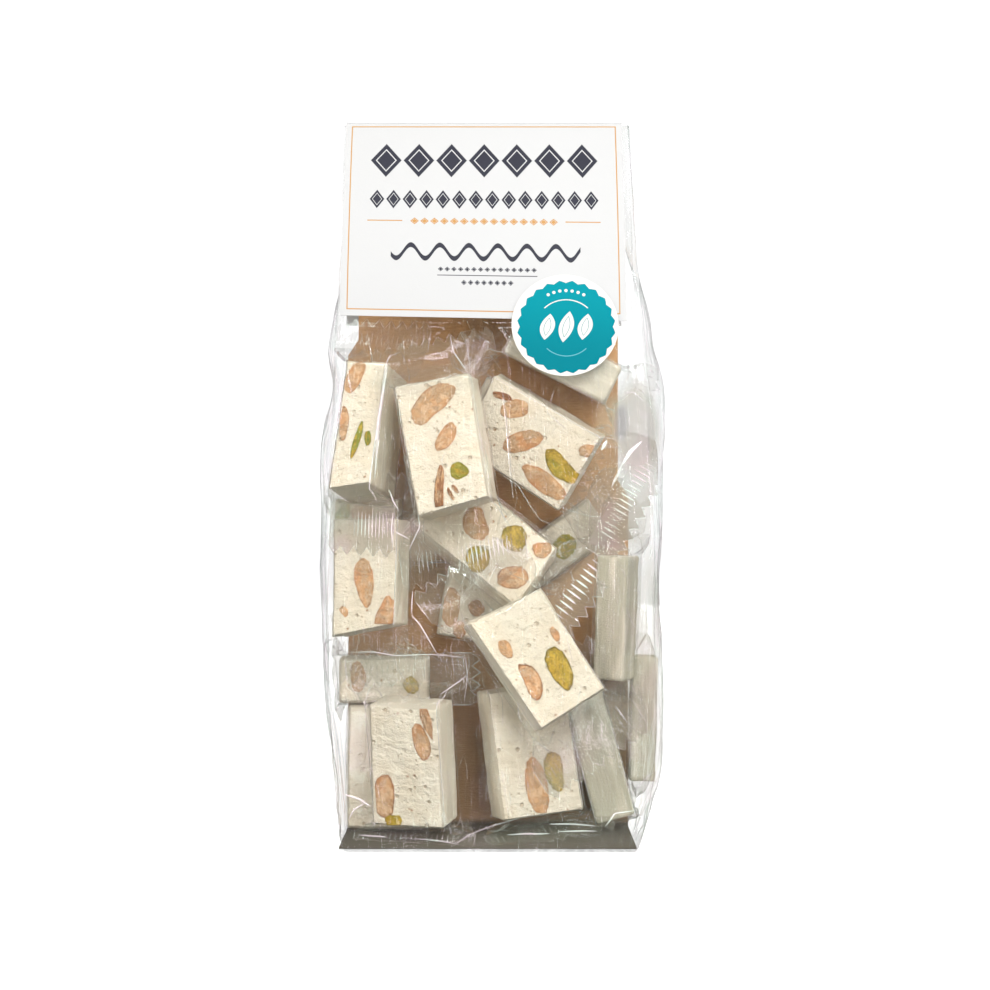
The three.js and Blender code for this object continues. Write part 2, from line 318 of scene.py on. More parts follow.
def nougat_finish():
    mix = Recipe("nougat")
    grain = mix.attribute("grain", "Vector")
    fibre = mix.attribute("fibre")
    sawn = 1 - fibre
    broad = mix.noise(grain, 0.11, 3.0)
    crumb = mix.noise(grain, 1.9, 6.0, 0.65)
    ripple = mix.noise(mix.scaled(grain, (0.42, 0.42, 1.5)), 1.0, 3.0)
    rippled = mix.rise(mix.noise(grain, 0.07, 1.0), 0.40, 0.62)
    streak = mix.noise(mix.scaled(grain, (1.5, 1.5, 0.07)), 1.0, 4.0, 0.6)
    hair = mix.noise(mix.scaled(grain, (3.2, 3.2, 0.10)), 1.0, 2.0)
    pitted = mix.rise(mix.noise(grain, 0.16, 2.0), 0.42, 0.6)
    holes = mix.rise(mix.cells(grain, 0.58), 0.24, 0.13) * pitted
    craters = mix.rise(mix.cells(grain, 0.23), 0.17, 0.09)
    specks = mix.rise(mix.cells(mix.scaled(grain, (1.0, 1.0, 1.1)), 0.2), 0.105, 0.07)
    colour = mix.blend(mix.rise(broad, 0.35, 0.65), CREAM, CREAM_PALE)
    colour = mix.blend(mix.rise(streak, 0.62, 0.38) * fibre * 0.8, colour, CREAM_FIBRE)
    colour = mix.blend(mix.rise(hair, 0.60, 0.72) * fibre * 0.15, colour, CREAM_HAIR)
    # painted shade in the pits: holes and craters are made darker and browner
    colour = mix.blend((holes * 0.45 + craters * 0.5) * sawn, colour, PIT_PAINTED_SHADE)
    colour = mix.blend(specks * sawn * 0.8, colour, SPECK_BROWN)
    soft = mix.noise(mix.scaled(grain, (0.25, 0.25, 0.035)), 1.0, 2.0)
    # painted shade: pieces deep in the bag are greyed, in patches
    painted_shade_mask = mix.attribute("dull") * mix.rise(soft, 0.25, 0.55)
    colour = mix.blend(painted_shade_mask, colour, CREAM_PAINTED_SHADE)
    bent = mix.noise(mix.scaled(grain, (0.17, 0.17, 0.30)), 1.0, 4.0, 0.6)
    lumps = mix.noise(grain, 0.7, 4.0, 0.6)
    wrinkle = mix.rise(abs(bent - 0.5), 0.05, 0.0) * rippled
    height = crumb * 0.6 + (ripple * rippled * 0.4 + wrinkle * 0.12 + bent * 2.4 + lumps) * sawn
    height = height + streak * fibre * 0.7 + hair * fibre * 0.2
    height = height - (holes * 0.5 + craters * 1.0) * sawn
    shader = mix.surface(
        Base_Color=colour,
        Roughness=mix.rise(crumb, 0.2, 0.8) * 0.15 + 0.62,
        Normal=mix.bump(height, 0.54),
    )
    return mix.finish(shader)


NOUGAT = nougat_finish()

# %% [markdown]
# ## Nuts
#
# The saw cuts through the nuts with the nougat. A cut almond is tan and grainy with a thin brown
# skin round it, and a cut pistachio is yellow green, darker towards its skin. The attribute "rim"
# runs from 0 in the middle of the cut to 1 at the skin. "ring" says how much of the brown skin
# still shows round the nut, and "bark" that a splinter of skin was cut lengthwise.


# %% Nut finishes
def nut_finish(name, flesh, pale, dark, other, skin, splinter, edge_dark, gloss):
    mix = Recipe(name)
    cut = mix.attribute("cut", "Vector")
    rim = mix.attribute("rim")
    bark = mix.attribute("bark")
    ring = mix.attribute("ring")
    own = mix.noise(mix.scaled(cut, (0.0, 0.0, 1.0)), 0.37, 0.0)
    patch = mix.noise(mix.scaled(cut, (1.3, 0.6, 1.0)), 0.42, 3.0)
    streak = mix.noise(mix.scaled(cut, (1.0, 0.22, 1.0)), 1.5, 3.0)
    grain = mix.noise(cut, 1.7, 5.0, 0.75)
    sugar = mix.rise(mix.noise(cut, 1.6, 5.0, 0.85), 0.50, 0.58)
    sugar = sugar * mix.rise(mix.noise(cut, 0.28, 1.0), 0.42, 0.58)
    wander = (mix.noise(cut, 0.8, 3.0) - 0.5) * 0.9
    edge = mix.rise(rim + wander, 0.74, 1.02)
    side = mix.noise(mix.scaled(cut, (1.0, 0.5, 1.0)), 0.2, 1.0)
    colour = mix.blend(mix.rise(own * 0.5 + side * 0.5, 0.42, 0.56), flesh, other)
    colour = mix.blend(mix.rise(patch, 0.40, 0.60) * 0.7, colour, pale)
    colour = mix.blend(mix.rise(grain, 0.54, 0.38) * 0.7, colour, dark)
    colour = mix.blend(edge * edge_dark, colour, dark)
    colour = mix.blend(sugar * 0.8, colour, pale)
    bits = mix.rise(mix.noise(cut, 0.55, 2.0), 0.50, 0.60)
    shown = bits * 0.35 * (1 - ring) + ring * 0.8
    colour = mix.blend(mix.rise(rim + wander * 0.35, 0.86, 0.98) * shown, colour, skin)
    colour = mix.blend(bark * mix.rise(streak, 0.40, 0.54), colour, splinter)
    shader = mix.surface(
        Base_Color=colour,
        Roughness=grain * 0.2 + gloss,
        Normal=mix.bump(grain * 1.2 + patch + sugar * 0.5 - bark * streak * 2, 0.35),
    )
    return mix.finish(shader)


ALMOND = nut_finish(
    "almond", flesh=(0.74, 0.36, 0.15), pale=(0.90, 0.66, 0.42), dark=(0.50, 0.21, 0.07),
    other=(0.80, 0.47, 0.23), skin=(0.36, 0.14, 0.045),
    splinter=(0.33, 0.12, 0.035), edge_dark=0.4, gloss=0.42,
)
PISTACHIO = nut_finish(
    "pistachio", flesh=(0.70, 0.42, 0.008), pale=(0.86, 0.57, 0.06), dark=(0.25, 0.17, 0.006),
    other=(0.36, 0.32, 0.012), skin=(0.15, 0.12, 0.01),
    splinter=(0.26, 0.31, 0.015), edge_dark=0.7, gloss=0.36,
)

# %% [markdown]
# ## Brown board
#
# The bag stands straight because an L of brown kraft board lines its back and base. Kraft board
# shows long pale and dark wood fibres, which are stretched noise in three sizes. Its lower part is
# painted a little darker, and its foot, under the folded bottom of the bag, much darker: both are
# painted shade.

# %% Board finish
KRAFT_WARM = (0.56, 0.30, 0.125)
KRAFT_LIGHT = (0.70, 0.41, 0.19)
KRAFT_FLECK = (0.72, 0.50, 0.29)
KRAFT_CLOUD = (0.36, 0.20, 0.10)
KRAFT_SHADED = (0.26, 0.19, 0.115)
KRAFT_FOOT_PAINTED_SHADE = (0.10, 0.09, 0.065)


def board_finish():
    mix = Recipe("kraft_board")
    place = mix.position()
    fibres = mix.noise(mix.scaled(place, (0.35, 1.0, 2.6)), 1.0, 5.0, 0.65)
    flecks = mix.noise(mix.scaled(place, (1.1, 1.0, 5.0)), 1.0, 2.0)
    cloud = mix.noise(place, 0.06, 2.0)
    colour = mix.blend(mix.rise(fibres, 0.3, 0.7), KRAFT_WARM, KRAFT_LIGHT)
    colour = mix.blend(mix.rise(flecks, 0.66, 0.78) * 0.5, colour, KRAFT_FLECK)
    colour = mix.blend(mix.rise(cloud, 0.35, 0.65) * 0.25, colour, KRAFT_CLOUD)
    height = mix.split(place)[2]
    # painted shade: the board darker from 80 mm down
    colour = mix.blend(mix.rise(height, 80.0, 30.0) * 0.45, colour, KRAFT_SHADED)
    # painted shade: the foot under the pieces dark
    colour = mix.blend(mix.rise(height, 4.0, 1.5), colour, KRAFT_FOOT_PAINTED_SHADE)
    shader = mix.surface(
        Base_Color=colour, Roughness=0.78, Normal=mix.bump(fibres + flecks * 0.4, 0.08)
    )
    return mix.finish(shader)


BOARD = board_finish()

# %% [markdown]
# ## Clear film
#
# A film twenty micrometres thick doesn't bend light visibly, so glass with refraction would be
# wrong and slow. Film lets light straight through and mirrors a share of it that grows towards
# grazing angles. So the finish mixes a transparent and a mirroring shader by that share, and adds
# a faint haze. Where an attribute says that the film is folded, it paints white lines: painted
# glints, a white matt surface in place of the mirror. The Fresnel node would take the inner side
# for the inside of solid glass, so the share comes from "facing", which is the same from both
# sides. "haze" is how milky the film is, as in a crimped fin, and "run" counts millimetres round
# the bag or wrapper and up it, so fine creases follow the film.

# %% Film finish
MIRROR_AHEAD = 0.03
MIRROR_GRAZING = 0.62
PAINTED_GLINT_FOLDED = 0.85
CLEAR = (0.993, 0.995, 0.993)
TINT_PINK = (1.0, 0.89, 0.97)
TINT_GREEN = (0.88, 0.99, 0.94)
MILK_CREAM = (0.37, 0.34, 0.28)
MILK_GREEN = (0.35, 0.37, 0.30)
MILK_ROSE = (0.43, 0.34, 0.34)
MILK_THICK = (0.27, 0.27, 0.275)


def film_finish(name, veil, streaks, crinkle_mm):
    mix = Recipe(name)
    place = mix.position()
    crease_painted_glint = mix.attribute("crease_painted_glint")
    haze = mix.attribute("haze")
    run = mix.attribute("run", "Vector")
    crinkle = mix.noise(mix.scaled(run, streaks), 1.0, 3.0, 0.6)
    fine = mix.noise(place, 0.9, 3.0, 0.6)
    relief = mix.bump(crinkle + fine * 0.35, crinkle_mm)
    grazing = mix.add("ShaderNodeLayerWeight", inputs={"Blend": 0.5, "Normal": relief}, output=1)
    # painted glints: where the film is folded the share grows and the sheen turns white and matt
    share = grazing**4 * MIRROR_GRAZING + MIRROR_AHEAD + crease_painted_glint * PAINTED_GLINT_FOLDED
    tint = mix.rise(mix.noise(place, 0.07, 2.0), 0.42, 0.58)
    colour = mix.blend(tint, TINT_PINK, TINT_GREEN)
    clear = mix.add("ShaderNodeBsdfTransparent", inputs={"Color": CLEAR})
    sheen = mix.surface(
        Base_Color=colour, Metallic=mix.rise(crease_painted_glint, 0.8, 0.0), Roughness=0.07, Normal=relief
    )
    hue = mix.noise(place, 0.05, 2.0)
    milky = mix.blend(mix.rise(hue, 0.50, 0.62), MILK_CREAM, MILK_GREEN)
    milky = mix.blend(mix.rise(hue, 0.46, 0.36), milky, MILK_ROSE)
    milky = mix.blend(mix.rise(haze, 0.45, 0.8), milky, MILK_THICK)
    milk = mix.surface(Base_Color=milky, Roughness=0.6, Specular_IOR_Level=0.2)
    cloud = mix.rise(mix.noise(place, 0.045, 3.0), 0.35, 0.7)
    veiled = haze * (1 - crease_painted_glint) + cloud * veil
    film = mix.add("ShaderNodeMixShader", inputs={0: share, 1: clear, 2: sheen})
    return mix.finish(mix.add("ShaderNodeMixShader", inputs={0: veiled, 1: film, 2: milk}))


BAG_FILM = film_finish("clear_film", 0.03, (0.45, 0.06, 1.0), 0.16)
WRAP_FILM = film_finish("wrap_film", 0.02, (0.55, 0.12, 1.0), 0.05)

# %% [markdown]
# ## Helpers for meshes
#
# Every piece is made in millimetres in a bmesh, scaled once at the end, and rides on the bag's one
# body. Its place is in its mesh, so its object stays at the origin. Film casts no shadow worth
# tracing, and without it the light inside stays clean.


# %% Piece from a bmesh
def make_piece(name, mesh, material, slot):
    """Turns a bmesh in millimetres into a finished object that rides with the bag."""
    bmesh.ops.scale(mesh, vec=(MM, MM, MM), verts=mesh.verts)
    data = bpy.data.meshes.new(name)
    mesh.to_mesh(data)
    mesh.free()
    data.materials.append(material)
    data.polygons.foreach_set("use_smooth", [True] * len(data.polygons))
    piece = bpy.data.objects.new(name, data)
    bpy.context.collection.objects.link(piece)
    piece.visible_shadow = slot != "clear_film"
    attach(piece, "root")
    faces = sum(len(polygon.vertices) - 2 for polygon in data.polygons)
    print(f"{name}: {faces} triangles")
    return piece


# %% Several meshes, and grids of points
def joined(meshes):
    """One bmesh of several, through a passing mesh for each."""
    whole = bmesh.new()
    for mesh in meshes:
        passing = bpy.data.meshes.new("passing")
        mesh.to_mesh(passing)
        mesh.free()
        whole.from_mesh(passing)
        bpy.data.meshes.remove(passing)
    return whole


def smooth_step(value, low, high):
    """0 at low, 1 at high and a smooth rise between."""
    share = np.clip((value - low) / (high - low), 0, 1)
    return share * share * (3 - 2 * share)


def tube(around, rings, closed):
    """An upright tube with each point's step round (from the right, towards the back) and up."""
    mesh = bmesh.new()
    bmesh.ops.create_cone(
        mesh, cap_ends=closed, segments=around, radius1=1, radius2=1, depth=1
    )
    uprights = [e for e in mesh.edges if abs(e.verts[0].co.z - e.verts[1].co.z) > 0.5]
    bmesh.ops.subdivide_edges(mesh, edges=uprights, cuts=rings - 2, use_grid_fill=True)
    steps = [
        (
            round(math.atan2(v.co.y, v.co.x) / math.tau * around) % around,
            round((v.co.z + 0.5) * (rings - 1)),
        )
        for v in mesh.verts
    ]
    return mesh, steps


def outward(points):
    """Normals of a grid of points [ring, step round, xyz] that closes round on itself."""
    across = np.roll(points, -1, axis=1) - np.roll(points, 1, axis=1)
    up = np.gradient(points, axis=0)
    normal = np.cross(across, up)
    return normal / np.maximum(np.linalg.norm(normal, axis=2, keepdims=True), 1e-9)


# %% [markdown]
# ## The bag's form
#
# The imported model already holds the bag's closed form, made from a few stations up its height and
# from the pieces that press the front out. The film follows the same form, so the same values and
# sums are written out here, now for whole arrays of points at once.

# %% Bag form
BAG_HEIGHT = 218.0
BACK_Y = 19.2
TOP_DEPTH = 1.2
BASE_INSET = 1.0
BASE_ROUND_HEIGHT = 1.2
CARD_TOP_Z = 218.8
CARD_TOP_Y = 17.5
CARD_TOP_SLOPE = 0.49
CARD_FOOT_SLOPE = 0.23
CARD_LEAF_HEIGHT = 62.7
CARD_THICKNESS = 0.5
CARD_LEFT_X = -44.8
CARD_RIGHT_X = 40.5
CARD_FOOT_DROP = 1.65
CARD_GAP = 0.35
COVERED_TO_Z = CARD_TOP_Z - CARD_LEAF_HEIGHT - CARD_FOOT_DROP
TENT_SLOPE = 0.8
WRAP_ALLOWANCE = 1.1
TOP_LEAN_X = -1.2
TOP_LEAN_FROM_Z = 140

# height, left and right gusset, half widths of front and back, front's middle, its edges' retreat
STATIONS = np.array([
    (0, 43.6, 43.4, 42.6, 41.5, -20.0, 0.3),
    (8, 45.0, 46.0, 43.8, 42.5, -20.6, 0.8),
    (22, 46.3, 51.0, 45.0, 43.6, -20.2, 1.6),
    (46, 50.0, 51.6, 46.6, 44.4, -19.2, 2.2),
    (77, 51.0, 50.5, 47.8, 44.8, -18.2, 2.4),
    (100, 51.0, 51.4, 47.6, 44.8, -16.6, 2.2),
    (118, 51.2, 52.2, 46.6, 44.6, -14.0, 2.0),
    (136, 47.6, 52.3, 45.6, 44.4, -9.8, 1.2),
    (147, 49.2, 49.2, 45.2, 44.3, -7.0, 0.6),
    (157, 47.6, 48.2, 44.9, 44.2, -4.2, 0.2),
    (170, 43.6, 44.4, 44.6, 44.2, 0.0, 0.0),
    (190, 40.5, 39.0, 44.3, 44.2, 8.4, 0.0),
    (218, 38.5, 37.0, 44.1, 44.1, 18.0, 0.0),
])

# middle of the face, its width and height, and its roll, yaw and pitch in degrees
PRESSING = [
    ((-14.1, -17.3, 118.4), (22.5, 38), (-10.5, -12, -5)),
    ((12.1, -17.8, 52.9), (23.5, 35), (-33, 10, -11)),
    ((-38.1, -11.0, 124.6), (12.5, 38), (6.5, -15, -12)),
    ((-37.7, -12.4, 79.1), (20.5, 35.5), (1, -16, -4)),
    ((-24.9, -14.1, 24.3), (22, 36), (-2, -18, 7)),
    ((10.8, -5.4, 118.6), (23.5, 36), (-60, -13, 14)),
    ((-1.8, -5.0, 91.8), (22.5, 38), (-51.5, 0, -17)),
]


# %% Sums on the form
def turned(roll, yaw, pitch):
    """The turn of a piece: roll about Y first, then pitch about X, then yaw about Z."""
    return (
        Matrix.Rotation(math.radians(yaw), 3, "Z")
        @ Matrix.Rotation(math.radians(pitch), 3, "X")
        @ Matrix.Rotation(math.radians(roll), 3, "Y")
    )


def form_at(z):
    """The six widths and depths of the bag at heights z, on a smooth curve."""
    heights = STATIONS[:, 0]
    upper = np.clip(np.searchsorted(heights, z), 1, len(heights) - 1)
    below, above = STATIONS[upper - 1], STATIONS[upper]
    before = STATIONS[np.maximum(upper - 2, 0)]
    after = STATIONS[np.minimum(upper + 1, len(heights) - 1)]
    span = (above[:, 0] - below[:, 0])[:, None]
    t = np.clip((z - below[:, 0])[:, None] / span, 0, 1)
    slope_below = (above - before) / (above[:, :1] - before[:, :1]) * span
    slope_above = (after - below) / (after[:, :1] - below[:, :1]) * span
    curve = (
        (2 * t**3 - 3 * t**2 + 1) * below + (t**3 - 2 * t**2 + t) * slope_below
        + (3 * t**2 - 2 * t**3) * above + (t**3 - t**2) * slope_above
    )
    return curve[:, 1:].T


def top_lean(z):
    """How far the closed top makes the bag lean to the left, at heights z."""
    return TOP_LEAN_X * smooth_step(z, TOP_LEAN_FROM_Z, BAG_HEIGHT)


def card_inner_y(z):
    """The depth of the card's inner side at heights z."""
    down = CARD_TOP_Z - z
    easing = (CARD_TOP_SLOPE - CARD_FOOT_SLOPE) / CARD_LEAF_HEIGHT
    return CARD_TOP_Y - CARD_TOP_SLOPE * down + 0.5 * easing * down**2 + CARD_THICKNESS


def from_face(face, x, z):
    """Depth and distance, seen from the front, of the nearest point of a pressing face."""
    middle, size, turn = face
    matrix = turned(*turn)
    across, along = matrix.col[0], matrix.col[2]
    area = across.x * along.z - across.z * along.x
    dx, dz = x - middle[0], z - middle[2]
    a = np.clip((dx * along.z - dz * along.x) / area, -size[0] / 2, size[0] / 2)
    b = np.clip((dz * across.x - dx * across.z) / area, -size[1] / 2, size[1] / 2)
    near = [middle[i] + across[i] * a + along[i] * b for i in range(3)]
    return near[1], np.hypot(x - near[0], z - near[2])


def front_y(x, z, half, front, shoulder):
    """The front panel's depth: stretched over the pressing faces and kept behind the card."""
    plain = front + shoulder * (np.abs(x) / half) ** 4
    y = plain
    for face in PRESSING:
        depth, distance = from_face(face, x, z)
        y = np.minimum(y, depth - WRAP_ALLOWANCE + TENT_SLOPE * distance)
    y = plain + (y - plain) * smooth_step(z, 4, 16)
    covered = np.maximum(z, COVERED_TO_Z)
    limit = card_inner_y(covered) + CARD_GAP - TENT_SLOPE * (covered - z)
    return np.minimum(np.maximum(y, limit), BACK_Y - TOP_DEPTH)


# %% [markdown]
# ## The film bag
#
# The bag is a welded tube of film with tucked sides and a folded block bottom. A tube of rings is
# set on the form point by point. Film doesn't stretch: slack film buckles into flat facets with
# sharp ridges, long and upright, and taut film over a piece is smooth. So the relief is a cell
# pattern whose cells are drawn out along the height, and it fades where the film is pressed.

# %% Film points on the form
FRONT_STEPS, GUSSET_STEPS, BACK_STEPS, RINGS = 180, 44, 50, 308


def bag_points():
    """Points [ring, step round, xyz] on the bag's smooth form, from the front's left edge."""
    heights = np.concatenate([
        [0.0, 0.35],
        np.linspace(BASE_ROUND_HEIGHT, 160, RINGS - 42, endpoint=False),
        np.linspace(160, BAG_HEIGHT, 40),
    ])
    insets = np.zeros(RINGS)
    insets[:2] = BASE_INSET, 0.35
    left, right, half, back, front, shoulder = (value[:, None] for value in form_at(heights))
    z = heights[:, None]
    t_front = np.arange(FRONT_STEPS)[None] / FRONT_STEPS
    t_side = np.arange(GUSSET_STEPS)[None] / GUSSET_STEPS
    t_back = np.arange(BACK_STEPS)[None] / BACK_STEPS
    x_front = half * (2 * t_front - 1)
    y_front = front_y(x_front, z, half, front, shoulder)

    def gusset(side, swell, t):
        straight = half + (back - half) * t
        edge_y = front_y(side * half, z, half, front, shoulder)
        x = side * (straight + (swell - straight) * np.sin(math.pi * t))
        return x, edge_y + (BACK_Y - edge_y) * t

    x_right, y_right = gusset(1, right, t_side)
    x_left, y_left = gusset(-1, left, 1 - t_side)
    x_back = back * (1 - 2 * t_back)
    x = np.concatenate([x_front, x_right, x_back, x_left], axis=1)
    y = np.concatenate([y_front, y_right, x_back * 0 + BACK_Y, y_left], axis=1)
    middle = (front + BACK_Y) / 2
    inset = insets[:, None]
    x = x * (1 - inset / half)
    y = middle + (y - middle) * (1 - 2 * inset / (BACK_Y - front))
    x = x + top_lean(z)
    return np.stack([x, y, x * 0 + z], axis=2)


# %% Relief of the film
def film_relief(points):
    """How far each point moves outwards, in mm."""
    x, y, z = points[..., 0], points[..., 1], points[..., 2]
    slack = np.ones(x.shape)
    for face in PRESSING:
        _, distance = from_face(face, x, z)
        slack = np.minimum(slack, np.where(y < 0, smooth_step(distance, 0, 9), 1))
    under_card = smooth_step(z, COVERED_TO_Z - 8, COVERED_TO_Z)
    behind_card = under_card * (x > CARD_LEFT_X) * (x < CARD_RIGHT_X + 1.5)
    calm = smooth_step(z, 0.3, 4) * (1 - behind_card) * (1 - 0.85 * smooth_step(z, 205, 217))
    folded_base = smooth_step(z, 19, 9) * (y < 0)
    relief = np.zeros(x.shape)
    # facets of about 11 x 27 mm, finer ones of 4.4 x 13 mm, and low, wide ones on the folded base
    for index in np.ndindex(x.shape):
        px, py, pz = points[index]
        bend = noise.noise((px * 0.03, py * 0.03, pz * 0.02)) * 9
        tall = noise.voronoi(((px + bend) / 11, py / 11, (pz + bend) / 27))[0][0]
        small = noise.voronoi((px / 4.4 + 7, py / 4.4, pz / 13))[0][0]
        relief[index] = tall**2 * 1.5 + small**2 * 0.3
        relief[index] += 0.5 * noise.noise((px / 16, py / 16, pz / 34))
        if folded_base[index] > 0:
            lying = noise.voronoi((px / 16 + 3, py / 9, (pz + bend * 0.15) / 4.2))[0][0]
            relief[index] += lying**2 * 1.1 * folded_base[index]
    return (relief - 0.45) * calm * (0.2 + 0.8 * slack)


# %% Film bag
# middle across and up, half width and half height, and strength of rubbed, milky patches
MILKY = [
    (43.0, 123.0, 9.0, 17.0, 0.6),
    (35.5, 125.5, 6.0, 9.0, 0.3),
    (-20.0, 91.0, 9.0, 9.0, 0.38),
    (-31.5, 124.0, 4.0, 20.0, 0.2),
    (28.0, 98.0, 9.0, 10.0, 0.12),
    (46.5, 66.0, 6.0, 26.0, 0.32),
    (46.0, 34.0, 7.0, 24.0, 0.2),
    (38.0, 62.0, 8.0, 24.0, 0.12),
    (33.0, 28.0, 8.0, 22.0, 0.12),
    (-38.0, 101.0, 12.0, 8.0, 0.12),
    (-20.0, 137.0, 20.0, 6.0, 0.14),
    (-30.0, 52.0, 16.0, 9.0, 0.10),
]


def film_bag():
    """The bag of film, and the points that it was set on."""
    around = FRONT_STEPS + BACK_STEPS + 2 * GUSSET_STEPS
    mesh, steps = tube(around, RINGS, closed=True)
    points = bag_points()
    steps_round = np.linalg.norm(np.diff(points, axis=1, append=points[:, :1]), axis=2)
    run_round = np.cumsum(steps_round, axis=1)
    points = points + outward(points) * film_relief(points)[..., None]
    points[..., 2] = np.clip(points[..., 2], 0, BAG_HEIGHT)
    x, y, z = points[..., 0], points[..., 1], points[..., 2]
    milk = np.zeros(x.shape)
    for at_x, at_z, wide, tall, strength in MILKY:
        far = np.hypot((x - at_x) / wide, (z - at_z) / tall)
        milk += strength * smooth_step(far, 1.0, 0.5) * smooth_step(y, 16, 4)
    mesh.verts.layers.float.new("crease_painted_glint")
    haze_layer = mesh.verts.layers.float.new("haze")
    run_layer = mesh.verts.layers.float_vector.new("run")
    for vertex, (step, ring) in zip(mesh.verts, steps):
        vertex.co = points[ring, step]
        vertex[haze_layer] = milk[ring, step]
        vertex[run_layer] = (run_round[ring, step], points[ring, step, 2], 0)
    bmesh.ops.recalc_face_normals(mesh, faces=mesh.faces)
    return make_piece("film_bag", mesh, BAG_FILM, "clear_film"), points


film, film_points = film_bag()
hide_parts("bag")

# %% [markdown]
# ## Sharp folds
#
# Where film is creased its surface turns within a hair's breadth and catches the light in a thin
# line. A mesh as fine as that everywhere would be huge, so each sharp fold is a thin tent laid
# along the surface: two faces wide, thin at both ends. Its crest carries an attribute that paints
# the film there white, a painted glint along the fold.


# %% Tents along a line
def tent(points, normals, half_width, height, white):
    """A thin tent along a line of points on film, which runs out to nothing at both ends."""
    count = len(points)
    mesh = bmesh.new()
    bmesh.ops.create_grid(mesh, x_segments=2, y_segments=count - 1, size=1)
    crease_painted_glint_layer = mesh.verts.layers.float.new("crease_painted_glint")
    run_layer = mesh.verts.layers.float_vector.new("run")
    along = np.gradient(points, axis=0)
    side = np.cross(along, normals)
    side /= np.maximum(np.linalg.norm(side, axis=1, keepdims=True), 1e-9)
    for vertex in mesh.verts:
        column = round(vertex.co.x)
        row = round((vertex.co.y + 1) / 2 * (count - 1))
        fade = math.sin(math.pi * (row + 0.25) / (count - 0.5)) ** 0.6
        lift = 0.04 + (height * fade if column == 0 else 0)
        spot = points[row] + side[row] * column * half_width * fade + normals[row] * lift
        vertex.co = spot
        # painted glint: the crest white, its sides less
        vertex[crease_painted_glint_layer] = white * (1.0 if column == 0 else 0.45)
        vertex[run_layer] = (spot[0], spot[2], 0)
    return mesh


def sampled(grid, rows, columns):
    """Values of a grid [row, column, xyz] at places between its rows and columns."""
    rows = np.clip(rows, 0, len(grid) - 1.001)
    r, c = rows.astype(int), np.floor(columns).astype(int)
    tr, tc = (rows - r)[:, None], (columns - c)[:, None]
    wide = grid.shape[1]
    low = grid[r, c % wide] * (1 - tc) + grid[r, (c + 1) % wide] * tc
    high = grid[r + 1, c % wide] * (1 - tc) + grid[r + 1, (c + 1) % wide] * tc
    return low * (1 - tr) + high * tr


